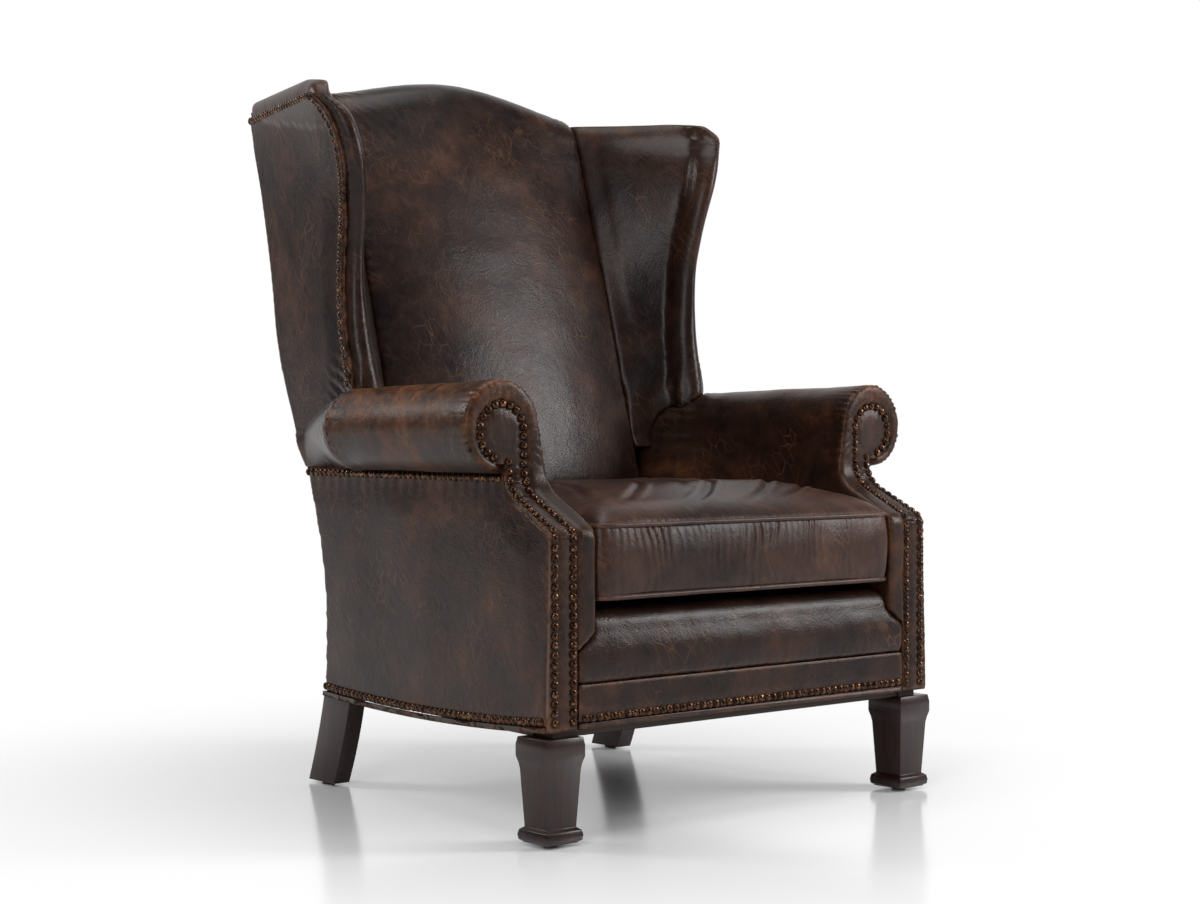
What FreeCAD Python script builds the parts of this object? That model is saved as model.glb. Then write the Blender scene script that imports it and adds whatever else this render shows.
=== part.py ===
import FreeCAD, Part
import math
import os

# Wingback armchair: hardwood frame, sprung and padded, covered in leather with dome nails.
# X is to the sitter's left seen from the front, Z is up. While the chair is drawn, Y is the
# setback from the front face of the feet; the whole chair is centred on its box at the end.

os.makedirs("parts", exist_ok=True)
Vec = FreeCAD.Vector

# Driving dimensions, millimetres

# Body outside, half widths from the middle
base_front_half = 382.0
base_rear_half = 320.0
arm_line_front_half = 375.0
arm_line_rear_half = 346.0
side_depth = 625.0
base_z = 157.0
side_sag = 17.0
arm_line_z = 503.0

# Arm front: an upright, a rounded shoulder, a slope and an upright scroll face
front_face_y = 3.0
shoulder_z = 417.0
shoulder_radius = 16.0
shoulder_slope = 27.0
scroll_face_y = 110.0
neck_radius = 50.0

# Arm roll and inner arm face
roll_radius = 66.0
roll_front_x = 378.0
roll_end_y = 468.0
roll_end_x = 367.0
roll_end_radius = 60.0
tail_y = 560.0
tail_x = 335.0
tail_radius = 50.0
tail_low_y = 640.0
tail_low_x = 307.0
tail_low_radius = 41.0
tail_end_y = 720.0
tail_end_x = 303.0
tail_end_radius = 37.0
inner_front_half = 299.0
inner_rear_half = 252.0
inner_bend_z = 445.0
inner_low_z = 262.0
rim_rise = 3.0
strip_slant = 24.0

# Facing strip on the arm front
facing_inner_half = 331.0
facing_width = 51.0
facing_outer_nail = 39.0
facing_thickness = 6.0
scroll_nail_radius = 38.5
scroll_head_drop = 7.0
nail_edge_inset = 6.5
facing_pocket_gap = 0.6
neck_rise = 13.0
neck_nail_lean = 6.0

# Back
back_half = 250.0
back_seat_y = 521.0
back_bulge = 34.0
back_straight_top_z = 478.0
back_lean = 15.8
crest_middle_z = 1146.0
crest_end_z = 1107.0
crest_round = 34.0
rear_low_y = 640.0
rear_waist_y = 609.0
rear_waist_z = 285.0
rear_arm_y = 646.0
rear_mid_y = 741.0
rear_mid_z = 720.0
rear_top_y = 828.0
rear_top_z = 1092.0

# Wings
wing_nail_top_z = 1070.0
wing_top_z = 1096.0
wing_rear_half = 337.0
wing_roll_forward = 20.0

# Leather and padding
leather = 2.2
panel_thickness = 3.0
seat_gap = 0.3

# Nails
nail_pitch = 13.0
nail_head_radius = 6.0
nail_head_height = 3.6
nail_shank_radius = 0.9
nail_crown_radius = 0.8
nail_shank_length = 11.0

# Seat cushion
cushion_front_half = 293.0
cushion_rear_half = 248.0
cushion_back_y = 482.0
cushion_bottom_z = 329.0
cushion_side_top_z = 432.0
cushion_crown = 44.0
cushion_side_pull = 5.0
welt_radius = 4.0

# Front border under the cushion
border_half = 327.0
border_seam_z = 217.0
border_top_z = 316.0
border_deck_y = 96.0

# Frame timber
rail_bottom_z = 148.0
rail_top_z = 252.0
rail_thickness = 26.0
front_rail_y = 14.0
post_width = 36.0
deck_thickness = 6.0
back_foam_depth = 74.0
cap_z = 1034.0
frame_clearance = 2.0
stump_inner_x = 330.0
stump_front = 9.0
stump_top_z = 596.0
post_back_gap = 10.0
post_depth = 45.0
post_top_z = 1062.0
lower_rail_y = 556.0
lower_rail_z = 292.0
crest_rail_y = 766.0
crest_rail_cover = 20.0
crest_rail_low_z = 1000.0
side_rail_end_y = 590.0
arm_rail_size = (28.0, 30.0)
arm_rail_front = (351.0, 548.0)
arm_rail_rear_y = 632.0
arm_rail_rear_z = 512.0
stile_size = (15.0, 24.0)
stile_low = (551.8, 318.0, 508.0)
stile_middle = (865.0, 336.0, 524.0)
stile_high = (960.0, 348.5, 517.0)
stile_top = (1040.0, 374.0, 512.0)
wing_rail_width = 12.0
wing_rail_top_z = 1058.0
wing_rail_front = (528.0, 379.0)
wing_rail_rear = (790.0, 268.0)
block_leg = 70.0
block_height = 60.0

# Springs, webbing and deck
spring_count = 5
spring_pitch = 100.0
wire_half = 1.8
clip_height = 8.0
clip_half = 9.0
clip_depth = 12.0
spring_z = rail_top_z + 4.5
spring_turn = 16.0
spring_half = 24.0
spring_corner = 8.0
pad_bottom_z = rail_top_z + clip_height + seat_gap
deck_back_y = 483.0
deck_edge = 1.0
webbing_count = 4
webbing_low_z = 520.0
webbing_pitch = 125.0
webbing_width = 50.0
webbing_thickness = 1.8

# Legs
leg_centre_x = 354.0
foot_width = 64.0
foot_top_z = 25.0
leg_waist_width = 50.0
leg_upper_width = 59.0
leg_upper_z = 104.0
leg_cuff_width = 67.4
leg_cuff_low_z = 122.0
leg_cuff_high_z = 137.0
leg_top_width = 63.5
rear_leg_half_width = 15.0
rear_leg_centre_x = 297.0
rear_leg_depth = 72.0
rear_leg_rake = 47.0
glide_radius = 10.0
glide_height = 4.5
bolt_radius = 4.0
bolt_clearance = 0.2
front_bolt_depth = 38.0
rear_bolt_depth = 30.0
bolt_lean = (6.0, 4.0)
rear_leg_overhang = 8.0
rear_leg_bow = 4.0

# Base trim strip under the nail rows
trim_height = 8.0
trim_thickness = 5.0
trim_stand = 1.5
nail_row_rise = 15.0
dust_cover_thickness = 1.2
dust_cover_edge = 12.0
dust_notch = 36.0


# Small drawing helpers

def closed(place, start, *steps):
    """A closed wire from straight steps (a, b) and arc steps ((a, b) middle, (a, b) end)."""
    edges = []
    here = start
    for step in steps:
        if isinstance(step[0], tuple):
            middle, end = step
            edges.append(Part.Arc(place(*here), place(*middle), place(*end)).toShape())
        else:
            end = step
            edges.append(Part.LineSegment(place(*here), place(*end)).toShape())
        here = end
    if place(*here).distanceToPoint(place(*start)) > 1e-6:
        edges.append(Part.LineSegment(place(*here), place(*start)).toShape())
    return Part.Wire(edges)


def at_x(x):
    return lambda y, z: Vec(x, y, z)


def at_y(y):
    return lambda x, z: Vec(x, y, z)


def at_z(z):
    return lambda x, y: Vec(x, y, z)


def prism(wire, direction):
    return Part.Face(wire).extrude(direction)


def loft(wires, ruled):
    return Part.makeLoft(wires, True, ruled)


def box(low, high):
    size = [high[i] - low[i] for i in range(3)]
    return Part.makeBox(size[0], size[1], size[2], Vec(*low))


def mirrored(shape):
    return shape.mirror(Vec(0, 0, 0), Vec(1, 0, 0))


def blend(a, b, share):
    return a + (b - a) * share


def arc_point(centre, radius, angle):
    turn = math.radians(angle)
    return (centre[0] + radius * math.cos(turn), centre[1] + radius * math.sin(turn))


nodes = {}


def both_sides(name, shape):
    """The chair is symmetric: the piece at +X is the sitter's left one."""
    nodes[name + "_left"] = shape
    nodes[name + "_right"] = mirrored(shape)


# Shared surfaces of the body

def side_x(y, z):
    """Outside of the side panel at setback y and height z."""
    share = y / side_depth
    low = blend(base_front_half, base_rear_half, share)
    high = blend(arm_line_front_half, arm_line_rear_half, share)
    return blend(low, high, (z - base_z) / (arm_line_z - base_z))


def inner_x(y):
    """Inner arm face, which runs straight back to the crease and then along it."""
    return max(blend(inner_front_half, inner_rear_half, y / back_seat_y), inner_rear_half)


def crease_y(z):
    """Setback of the crease between inside back and wing."""
    rise = max(z - back_straight_top_z, 0.0)
    return back_seat_y + rise * math.tan(math.radians(back_lean))


def side_layer(near, far, top_z):
    """Layer under the outside of the side, between two depths, up to top_z."""
    low_z = 120.0
    ends = []
    for y in (-20.0, side_depth + 60.0):
        low_x = side_x(y, low_z)
        high_x = side_x(y, top_z)
        ends.append(closed(at_y(y), (low_x - near, low_z), (high_x - near, top_z),
                           (high_x - far, top_z), (low_x - far, low_z)))
    return loft(ends, True)


def front_profile(depth, top_z, low_z):
    """Arm front line, set in by depth: (y, z) steps from low_z up to top_z."""
    slope = math.radians(shoulder_slope)
    y0 = front_face_y + depth
    bend = (front_face_y + shoulder_radius, shoulder_z)
    radius = shoulder_radius - depth
    away = (-math.sin(slope), math.cos(slope))
    neck_y = scroll_face_y - neck_radius
    outer = (bend[0] + shoulder_radius * away[0], bend[1] + shoulder_radius * away[1])
    run = (neck_y + neck_radius * math.sin(slope) - outer[0]) / math.cos(slope)
    neck_z = outer[1] + run * math.sin(slope) + neck_radius * math.cos(slope)
    steps = [(y0, low_z)]
    slope_start = (bend[0] + radius * away[0], bend[1] + radius * away[1])
    if radius > 0.5:
        steps.append((y0, bend[1]))
        middle = arc_point(bend, radius, (180.0 + 90.0 + shoulder_slope) / 2.0)
        steps.append((middle, slope_start))
    else:
        back_up = (slope_start[0] - y0) * math.tan(slope)
        steps.append((y0, slope_start[1] - back_up))
    wide = neck_radius + depth
    neck_start = (neck_y + wide * math.sin(slope), neck_z - wide * math.cos(slope))
    middle = arc_point((neck_y, neck_z), wide, (shoulder_slope - 90.0) / 2.0)
    steps.append(neck_start)
    steps.append((middle, (neck_y + wide, neck_z)))
    steps.append((neck_y + wide, top_z))
    return steps


def behind_front(depth):
    """Everything behind the arm front line set in by depth, as one tall slab across X."""
    steps = front_profile(depth, 700.0, 100.0)
    wire = closed(at_x(200.0), steps[0], *(steps[1:] + [(900.0, 700.0), (900.0, 100.0)]))
    return prism(wire, Vec(300, 0, 0))


def front_band(near, far):
    """The layer between two set-in arm front lines."""
    return behind_front(near).cut(behind_front(far))


def rear_points(shift):
    """Rear outline of the body, moved back by shift."""
    low = (rear_low_y + shift, rail_bottom_z - 12.0)
    waist = (rear_waist_y + shift, rear_waist_z)
    arm = (rear_arm_y + shift, arm_line_z)
    lower_mid = (blend(rear_arm_y, rear_mid_y, 0.62) + shift, blend(arm_line_z, rear_mid_z, 0.5))
    middle = (rear_mid_y + shift, rear_mid_z)
    upper_mid = (blend(rear_mid_y, rear_top_y, 0.4) + shift, blend(rear_mid_z, rear_top_z, 0.5))
    top = (rear_top_y + shift, rear_top_z)
    above = (rear_top_y + shift + 22.0, rear_top_z + 70.0)
    return [low, (waist, arm), (lower_mid, middle), (upper_mid, top), above]


def before_rear(shift, half):
    """Everything in front of the rear outline moved back by shift."""
    steps = rear_points(shift)
    front = [(-60.0, steps[-1][1]), (-60.0, steps[0][1])]
    wire = closed(at_x(-half), steps[0], *(steps[1:] + front))
    return prism(wire, Vec(2.0 * half, 0, 0))


def rear_y(z):
    """Rear outline setback at height z, measured on the drawn line."""
    steps = rear_points(0.0)
    here = steps[0]
    for step in steps[1:]:
        arc = isinstance(step[0], tuple)
        end = step[1] if arc else step
        if here[1] <= z <= end[1]:
            if arc:
                edge = Part.Arc(Vec(0, *here), Vec(0, *step[0]), Vec(0, *end)).toShape()
            else:
                edge = Part.LineSegment(Vec(0, *here), Vec(0, *end)).toShape()
            level = Part.LineSegment(Vec(0, -999, z), Vec(0, 1999, z)).toShape()
            return edge.distToShape(level)[1][0][0].y
        here = end
    return here[0]


# Arm sections

def roll_at(y):
    """Centre x, centre z and radius of the arm roll at setback y."""
    knots = [
        (0.0, roll_front_x, roll_radius),
        (roll_end_y, roll_end_x, roll_end_radius),
        (tail_y, tail_x, tail_radius),
        (tail_low_y, tail_low_x, tail_low_radius),
        (tail_end_y, tail_end_x, tail_end_radius),
    ]
    for near, far in zip(knots, knots[1:]):
        if y <= far[0]:
            break
    share = (y - near[0]) / (far[0] - near[0])
    radius = blend(near[2], far[2], share)
    return blend(near[1], far[1], share), arm_line_z + radius, radius


def under_roll(y, inset):
    """Middle and end of the underside of the roll, which fades into the flat side."""
    x, z, full = roll_at(y)
    r = full - inset
    share = min(max((y - roll_end_y) / (tail_low_y - roll_end_y), 0.0), 1.0)
    foot_x = blend(x, side_x(y, arm_line_z) - inset, share)
    low_z = z - r
    flat_x = (x + r + foot_x) / 2.0 + 1.0
    middle = (blend(x + r * math.sqrt(0.5), flat_x, share),
              blend(z - r * math.sqrt(0.5), (z + low_z) / 2.0, share))
    return middle, (foot_x, low_z)


def arm_section(y, inset, low_z):
    """Closed outline of the padded arm at setback y, shrunk by inset."""
    x, z, full = roll_at(y)
    r = full - inset
    inside = inner_x(y) + inset
    wall = side_x(y, arm_line_z) - panel_thickness - seat_gap - inset
    foot = side_x(y, low_z) - panel_thickness - seat_gap
    centre = (x, z)
    return closed(
        at_y(y), (inside, low_z), (inside, inner_bend_z), (x - r, z),
        (arc_point(centre, r, 135.0), (x, z + r)),
        (arc_point(centre, r, 45.0), (x + r, z)), under_roll(y, inset),
        (wall, z - r), (foot, low_z))


def arm_body(inset, low_z):
    """The padded arm from its front to its tail, with its front still square."""
    stations = [-20.0, roll_end_y, tail_y, tail_low_y, tail_end_y]
    return loft([arm_section(y, inset, low_z) for y in stations], True)


def arm_skin(y, thickness):
    """Leather strip up the inner arm face, over the roll and under it."""
    x, z, r = roll_at(y)
    inside = inner_x(y)
    thin = r - thickness
    centre = (x, z)
    return closed(
        at_y(y), (inside, inner_low_z), (inside, inner_bend_z), (x - r, z),
        (arc_point(centre, r, 135.0), (x, z + r)),
        (arc_point(centre, r, 45.0), (x + r, z)),
        (arc_point(centre, r, -45.0), (x, z - r)),
        (x, z - thin),
        (arc_point(centre, thin, -45.0), (x + thin, z)),
        (arc_point(centre, thin, 45.0), (x, z + thin)),
        (arc_point(centre, thin, 135.0), (x - thin, z)),
        (inside + thickness, inner_bend_z), (inside + thickness, inner_low_z))


def arm_tail_skin(y, thickness):
    """The same strip where only the inner face and the top of the roll are leather."""
    x, z, r = roll_at(y)
    inside = inner_x(y)
    thin = r - thickness
    centre = (x, z)
    return closed(
        at_y(y), (inside, inner_low_z), (inside, inner_bend_z), (x - r, z),
        (arc_point(centre, r, 135.0), (x, z + r)),
        (x, z + thin),
        (arc_point(centre, thin, 135.0), (x - thin, z)),
        (inside + thickness, inner_bend_z), (inside + thickness, inner_low_z))


def shoulder_skin(y, thickness):
    """Leather of the outside wing where it is drawn down behind the roll."""
    x, z, r = roll_at(y)
    thin = r - thickness
    centre = (x, z)
    middle, foot = under_roll(y, 0.0)
    inner_middle, inner_foot = under_roll(y, thickness)
    return closed(
        at_y(y), (x, z + r), (arc_point(centre, r, 45.0), (x + r, z)), (middle, foot),
        inner_foot, (inner_middle, (x + thin, z)), (arc_point(centre, thin, 45.0), (x, z + thin)))


def facing_outline(grow, low_z):
    """Front view of the facing strip and its round head, as a slab along Y."""
    inner = facing_inner_half - grow
    outer = facing_inner_half + facing_width + grow
    head_x, head_z, roll = roll_at(scroll_face_y)
    head_z -= scroll_head_drop
    head = scroll_nail_radius + nail_edge_inset + grow
    reach_in = math.sqrt(max(head ** 2 - (head_x - inner) ** 2, 1.0))
    strip = box((inner, -60.0, low_z - grow), (outer, 200.0, head_z - reach_in * 0.2))
    disc = Part.makeCylinder(head, 260.0, Vec(head_x, -60.0, head_z), Vec(0, 1, 0))
    return strip.fuse(disc).removeSplitter()


def make_arms():
    skin_front = loft([arm_skin(y, leather) for y in (-20.0, roll_end_y)], True)
    tail_ends = (roll_end_y, lower_rail_y - seat_gap)
    skin_tail = loft([arm_tail_skin(y, leather) for y in tail_ends], True)
    envelope = arm_body(0.0, inner_low_z)
    pocket = facing_outline(facing_pocket_gap, base_z).common(
        behind_front(-9.0).cut(behind_front(facing_thickness + seat_gap)))
    cover = skin_front.common(behind_front(-rim_rise))
    front_wall = envelope.common(front_band(-rim_rise, facing_thickness + leather + seat_gap))
    cover = cover.fuse(front_wall).cut(pocket)
    cover = cover.fuse(skin_tail).removeSplitter()
    both_sides("inside_arm_cover", cover.cut(strip_end()).cut(nodes["wing_stile_left"]))
    facing = facing_outline(0.0, base_z).common(front_band(0.0, facing_thickness))
    both_sides("arm_facing", facing.cut(side_layer(-40.0, 0.0, arm_line_z + neck_rise)))


def under_side_panel():
    """Space taken by the outside arm panel, with its clearance."""
    return side_layer(-40.0, panel_thickness + seat_gap, arm_line_z)


def strip_end():
    """Wedge under the slanted lower end of the inner strip of the arm front."""
    slant = (inner_low_z + strip_slant, inner_low_z)
    across = facing_inner_half - inner_front_half
    reach = inner_front_half - across
    wire = closed(at_y(-60.0), (facing_inner_half, slant[1]), (reach, slant[1]),
                  (reach, slant[1] + 2.0 * strip_slant))
    return prism(wire, Vec(0, 60.0 + border_deck_y + seat_gap, 0))


def make_outside_arm():
    """Outer side panel from the arm nail line to the trim strip."""
    slab = side_layer(0.0, panel_thickness, arm_line_z - seat_gap)
    shape = slab.common(behind_front(facing_thickness + seat_gap)).common(before_rear(0.0, 500.0))
    shape = shape.common(above_base(trim_height))
    both_sides("outside_arm_panel", shape)


rear_base_z = base_z - side_sag * 0.75


def sag_line(rise):
    """Bottom edge of the body along a side, as (y, z) steps from front to rear."""
    start = (0.0, base_z + rise)
    middle = (side_depth * 0.5, base_z - side_sag + rise)
    end = (rear_low_y + 20.0, rear_base_z + rise)
    return start, middle, end


def above_base(rise):
    """Everything above the bottom edge of the body, which sags along the sides."""
    start, middle, end = sag_line(rise)
    wire = closed(at_x(-500.0), (-60.0, start[1]), start, (middle, end), (900.0, end[1]),
                  (900.0, 1300.0), (-60.0, 1300.0))
    return prism(wire, Vec(1000, 0, 0))


# Wings

# Nail line up the wing's front edge: height, half width, setback, and the padded roll's width
wing_line = [
    (530.0, 364.0, 488.0, 52.0),
    (641.0, 364.0, 492.0, 51.0),
    (714.0, 363.5, 508.0, 42.5),
    (793.0, 363.0, 513.5, 35.0),
    (861.0, 364.5, 507.0, 33.0),
    (925.0, 372.0, 495.0, 34.0),
    (971.0, 383.0, 488.0, 37.0),
    (1016.0, 396.0, 489.0, 39.0),
    (1054.0, 415.0, 505.0, 39.0),
    (1070.0, 425.0, 515.0, 38.0),
]
wing_low_z = 530.0
wing_steps = 9
wing_cap = [(0.0, 0.0), (16.0, 7.0), (26.0, 22.0)]


def smooth(points, column, at):
    """Smooth value of one column between rows that start with a height."""
    spans = [(b[column] - a[column]) / (b[0] - a[0]) for a, b in zip(points, points[1:])]
    slopes = [spans[0]] + [(p + q) / 2.0 for p, q in zip(spans, spans[1:])] + [spans[-1]]
    for k in range(len(spans)):
        if at <= points[k + 1][0]:
            break
    width = points[k + 1][0] - points[k][0]
    u = (at - points[k][0]) / width
    start = points[k][column] * (1.0 + 2.0 * u) * (1.0 - u) ** 2
    end = points[k + 1][column] * u * u * (3.0 - 2.0 * u)
    bend = slopes[k] * u * (1.0 - u) ** 2 - slopes[k + 1] * u * u * (1.0 - u)
    return start + end + bend * width


def wing_station(z):
    """Height, nail line half width, nail line setback and roll width at height z."""
    return z, smooth(wing_line, 1, z), smooth(wing_line, 2, z), smooth(wing_line, 3, z)


def wing_heights():
    return [blend(wing_low_z, wing_nail_top_z, k / wing_steps) for k in range(wing_steps + 1)]


def wing_section(z, rise, inset, cap_inset):
    """Plan outline of the wing: inner face, front roll, outer face, rear."""
    level, nail_x, nail_y, roll = wing_station(z)
    skin = panel_thickness + seat_gap
    edge_x = nail_x - skin - cap_inset
    edge_y = nail_y + cap_inset
    wide = roll - skin - cap_inset * 0.6
    start = (edge_x - wide + 2.0, edge_y + 26.0)
    crease = (back_half + seat_gap, crease_y(z) + cap_inset)
    along = math.hypot(start[0] - crease[0], start[1] - crease[1])
    run = ((start[0] - crease[0]) / along, (start[1] - crease[1]) / along)
    inward = (-run[1] * inset, run[0] * inset)
    start = (start[0] + inward[0], start[1] + inward[1])
    slide = (inset - inward[0]) / run[0]
    crease = (crease[0] + inset, crease[1] + inward[1] + run[1] * slide)
    bulge = (edge_x - wide + inset, edge_y + 4.0)
    front = (edge_x - wide * 0.52, edge_y - wing_roll_forward + inset)
    cheek = (edge_x - wide * 0.14 - inset * 0.6,
             edge_y - wing_roll_forward * 0.66 + inset * 0.8)
    edge = (edge_x - inset, edge_y)
    back = rear_y(level + rise) + 10.0
    corner = (wing_rear_half - skin - inset - cap_inset * 0.5, back)
    return closed(at_z(level + rise), crease, start, (bulge, front), (cheek, edge), corner,
                  (crease[0], back))


def wing_body(inset):
    wall = loft([wing_section(z, 0.0, inset, 0.0) for z in wing_heights()], False)
    top = wing_nail_top_z
    cap = loft([wing_section(top, rise * (1.0 - inset / wing_cap[-1][0]), inset, pull)
                for rise, pull in wing_cap], False)
    return wall.fuse(cap).removeSplitter()


def wing_panel():
    """Outside wing leather: from the nail line back to the rear edge."""
    wires = []
    for z in wing_heights():
        level, nail_x, nail_y, roll = wing_station(z)
        back = rear_y(z) + 10.0
        wires.append(closed(
            at_z(z), (nail_x, nail_y), (wing_rear_half, back),
            (wing_rear_half - panel_thickness, back), (nail_x - panel_thickness, nail_y)))
    return loft(wires, False)


def make_wings():
    rest_on_arm = arm_body(-seat_gap, inner_low_z)
    hide = before_rear(-panel_thickness - seat_gap, 600.0)
    outer = wing_body(0.0).common(hide).cut(rest_on_arm)
    outer = outer.cut(webbing_way()).cut(nodes["crest_rail"])
    both_sides("inside_wing_cover", outer.cut(wing_body(leather)))
    padding = wing_body(leather + seat_gap).common(hide).cut(rest_on_arm)
    padding = padding.cut(webbing_way())
    for name in ("wing_stile_left", "wing_rail_left", "back_post_left", "crest_rail"):
        padding = padding.cut(nodes[name])
    both_sides("wing_padding", padding)
    stations = (roll_end_y + seat_gap, tail_y, tail_low_y, tail_end_y)
    drape = loft([shoulder_skin(y, leather) for y in stations], True)
    drape = drape.common(before_rear(0.0, 600.0)).cut(wing_body(-seat_gap / 2.0))
    panel = wing_panel().cut(arm_body(leather / 2.0, inner_low_z))
    panel = panel.common(before_rear(0.0, 600.0))
    both_sides("outside_wing_panel", panel.fuse(drape).removeSplitter())


# Back

def crest_z(x):
    u = min(abs(x) / back_half, 1.0)
    share = ((1.0 - u * u) + 0.5 * (1.0 + math.cos(math.pi * u))) / 2.0
    return blend(crest_end_z, crest_middle_z, share)


def back_section(x, inset):
    """Side outline of the padded back at x: seat, lean, rounded crest, open rear."""
    u = min(abs(x) / back_half, 1.0)
    bulge = back_bulge * (1.0 - u ** 2.4)
    top = crest_z(x) - inset
    low_z = 332.0
    bend = back_straight_top_z
    high = top - crest_round * 1.5
    middle_z = (bend + high) / 2.0
    foot = (back_seat_y - bulge + inset, low_z)
    seat = (back_seat_y - bulge + inset, bend)
    middle = (crease_y(middle_z) - bulge * 0.95 - 1.5 + inset, middle_z)
    upper = (crease_y(high) - bulge * 0.35 + inset, high)
    lip = (upper[0] + crest_round * 0.55, top - crest_round * 0.42)
    peak = (upper[0] + crest_round * 1.6, top)
    fall = (rear_top_y + 6.0, top - crest_round)
    slope = (blend(peak[0], fall[0], 0.6), top - crest_round * 0.36)
    return closed(at_x(x), foot, seat, (middle, upper), (lip, peak), (slope, fall),
                  (900.0, fall[1]), (900.0, low_z))


def back_body(inset):
    reach = back_half - inset
    xs = [reach * share for share in (-1.0, -0.7, -0.35, 0.0, 0.35, 0.7, 1.0)]
    return loft([back_section(x, inset) for x in xs], False)


def leaning_slab(near, far, low_z, high_z, half):
    """A layer parallel to the leaning back, between two distances behind the crease."""
    wire = closed(at_x(-half), (crease_y(low_z) + near, low_z), (crease_y(high_z) + near, high_z),
                  (crease_y(high_z) + far, high_z), (crease_y(low_z) + far, low_z))
    return prism(wire, Vec(2.0 * half, 0, 0))


def webbing_way():
    """Space behind the back foam that is kept open for the webbing."""
    reach = nodes["back_post_left"].BoundBox.XMin
    return leaning_slab(back_foam_depth, 400.0, 500.0, 960.0, reach)


def make_back():
    hide = before_rear(-panel_thickness - seat_gap, 600.0)
    cover = back_body(0.0).common(hide).cut(back_body(leather)).cut(webbing_way())
    nodes["inside_back_cover"] = cover.cut(nodes["crest_rail"])
    foam = back_body(leather + seat_gap).common(hide)
    lower = leaning_slab(-200.0, back_foam_depth, back_straight_top_z, cap_z, 400.0)
    low_block = box((-400, 0, 300), (400, back_seat_y + back_foam_depth, back_straight_top_z))
    upper = box((-400, 0, cap_z), (400, 1000, 1400))
    foam = foam.common(lower.fuse(low_block).fuse(upper).removeSplitter())
    nodes["back_padding"] = foam.cut(nodes["crest_rail"]).cut(nodes["lower_back_rail"])
    band = before_rear(0.0, 600.0).cut(before_rear(-panel_thickness, 600.0))
    nodes["outside_back_panel"] = band.common(outside_back_outline())


def outside_back_outline():
    """Rear view of the outside back, as a slab along Y."""
    skin = panel_thickness + seat_gap
    low_z = rear_base_z + trim_height
    low = side_x(rear_low_y, low_z) - skin
    waist = side_x(rear_arm_y, arm_line_z) - skin
    top = wing_rear_half - skin
    side_top = rear_top_z - 14.0
    arch = crest_middle_z - crest_round
    taper_z = arm_line_z + tail_end_radius
    wire = closed(at_y(400.0), (-low, low_z), (low, low_z), (waist, arm_line_z), (top, taper_z),
                  (top, side_top), ((0.0, arch), (-top, side_top)), (-top, taper_z),
                  (-waist, arm_line_z))
    return prism(wire, Vec(0, 600, 0))


# Hardwood frame

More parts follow.
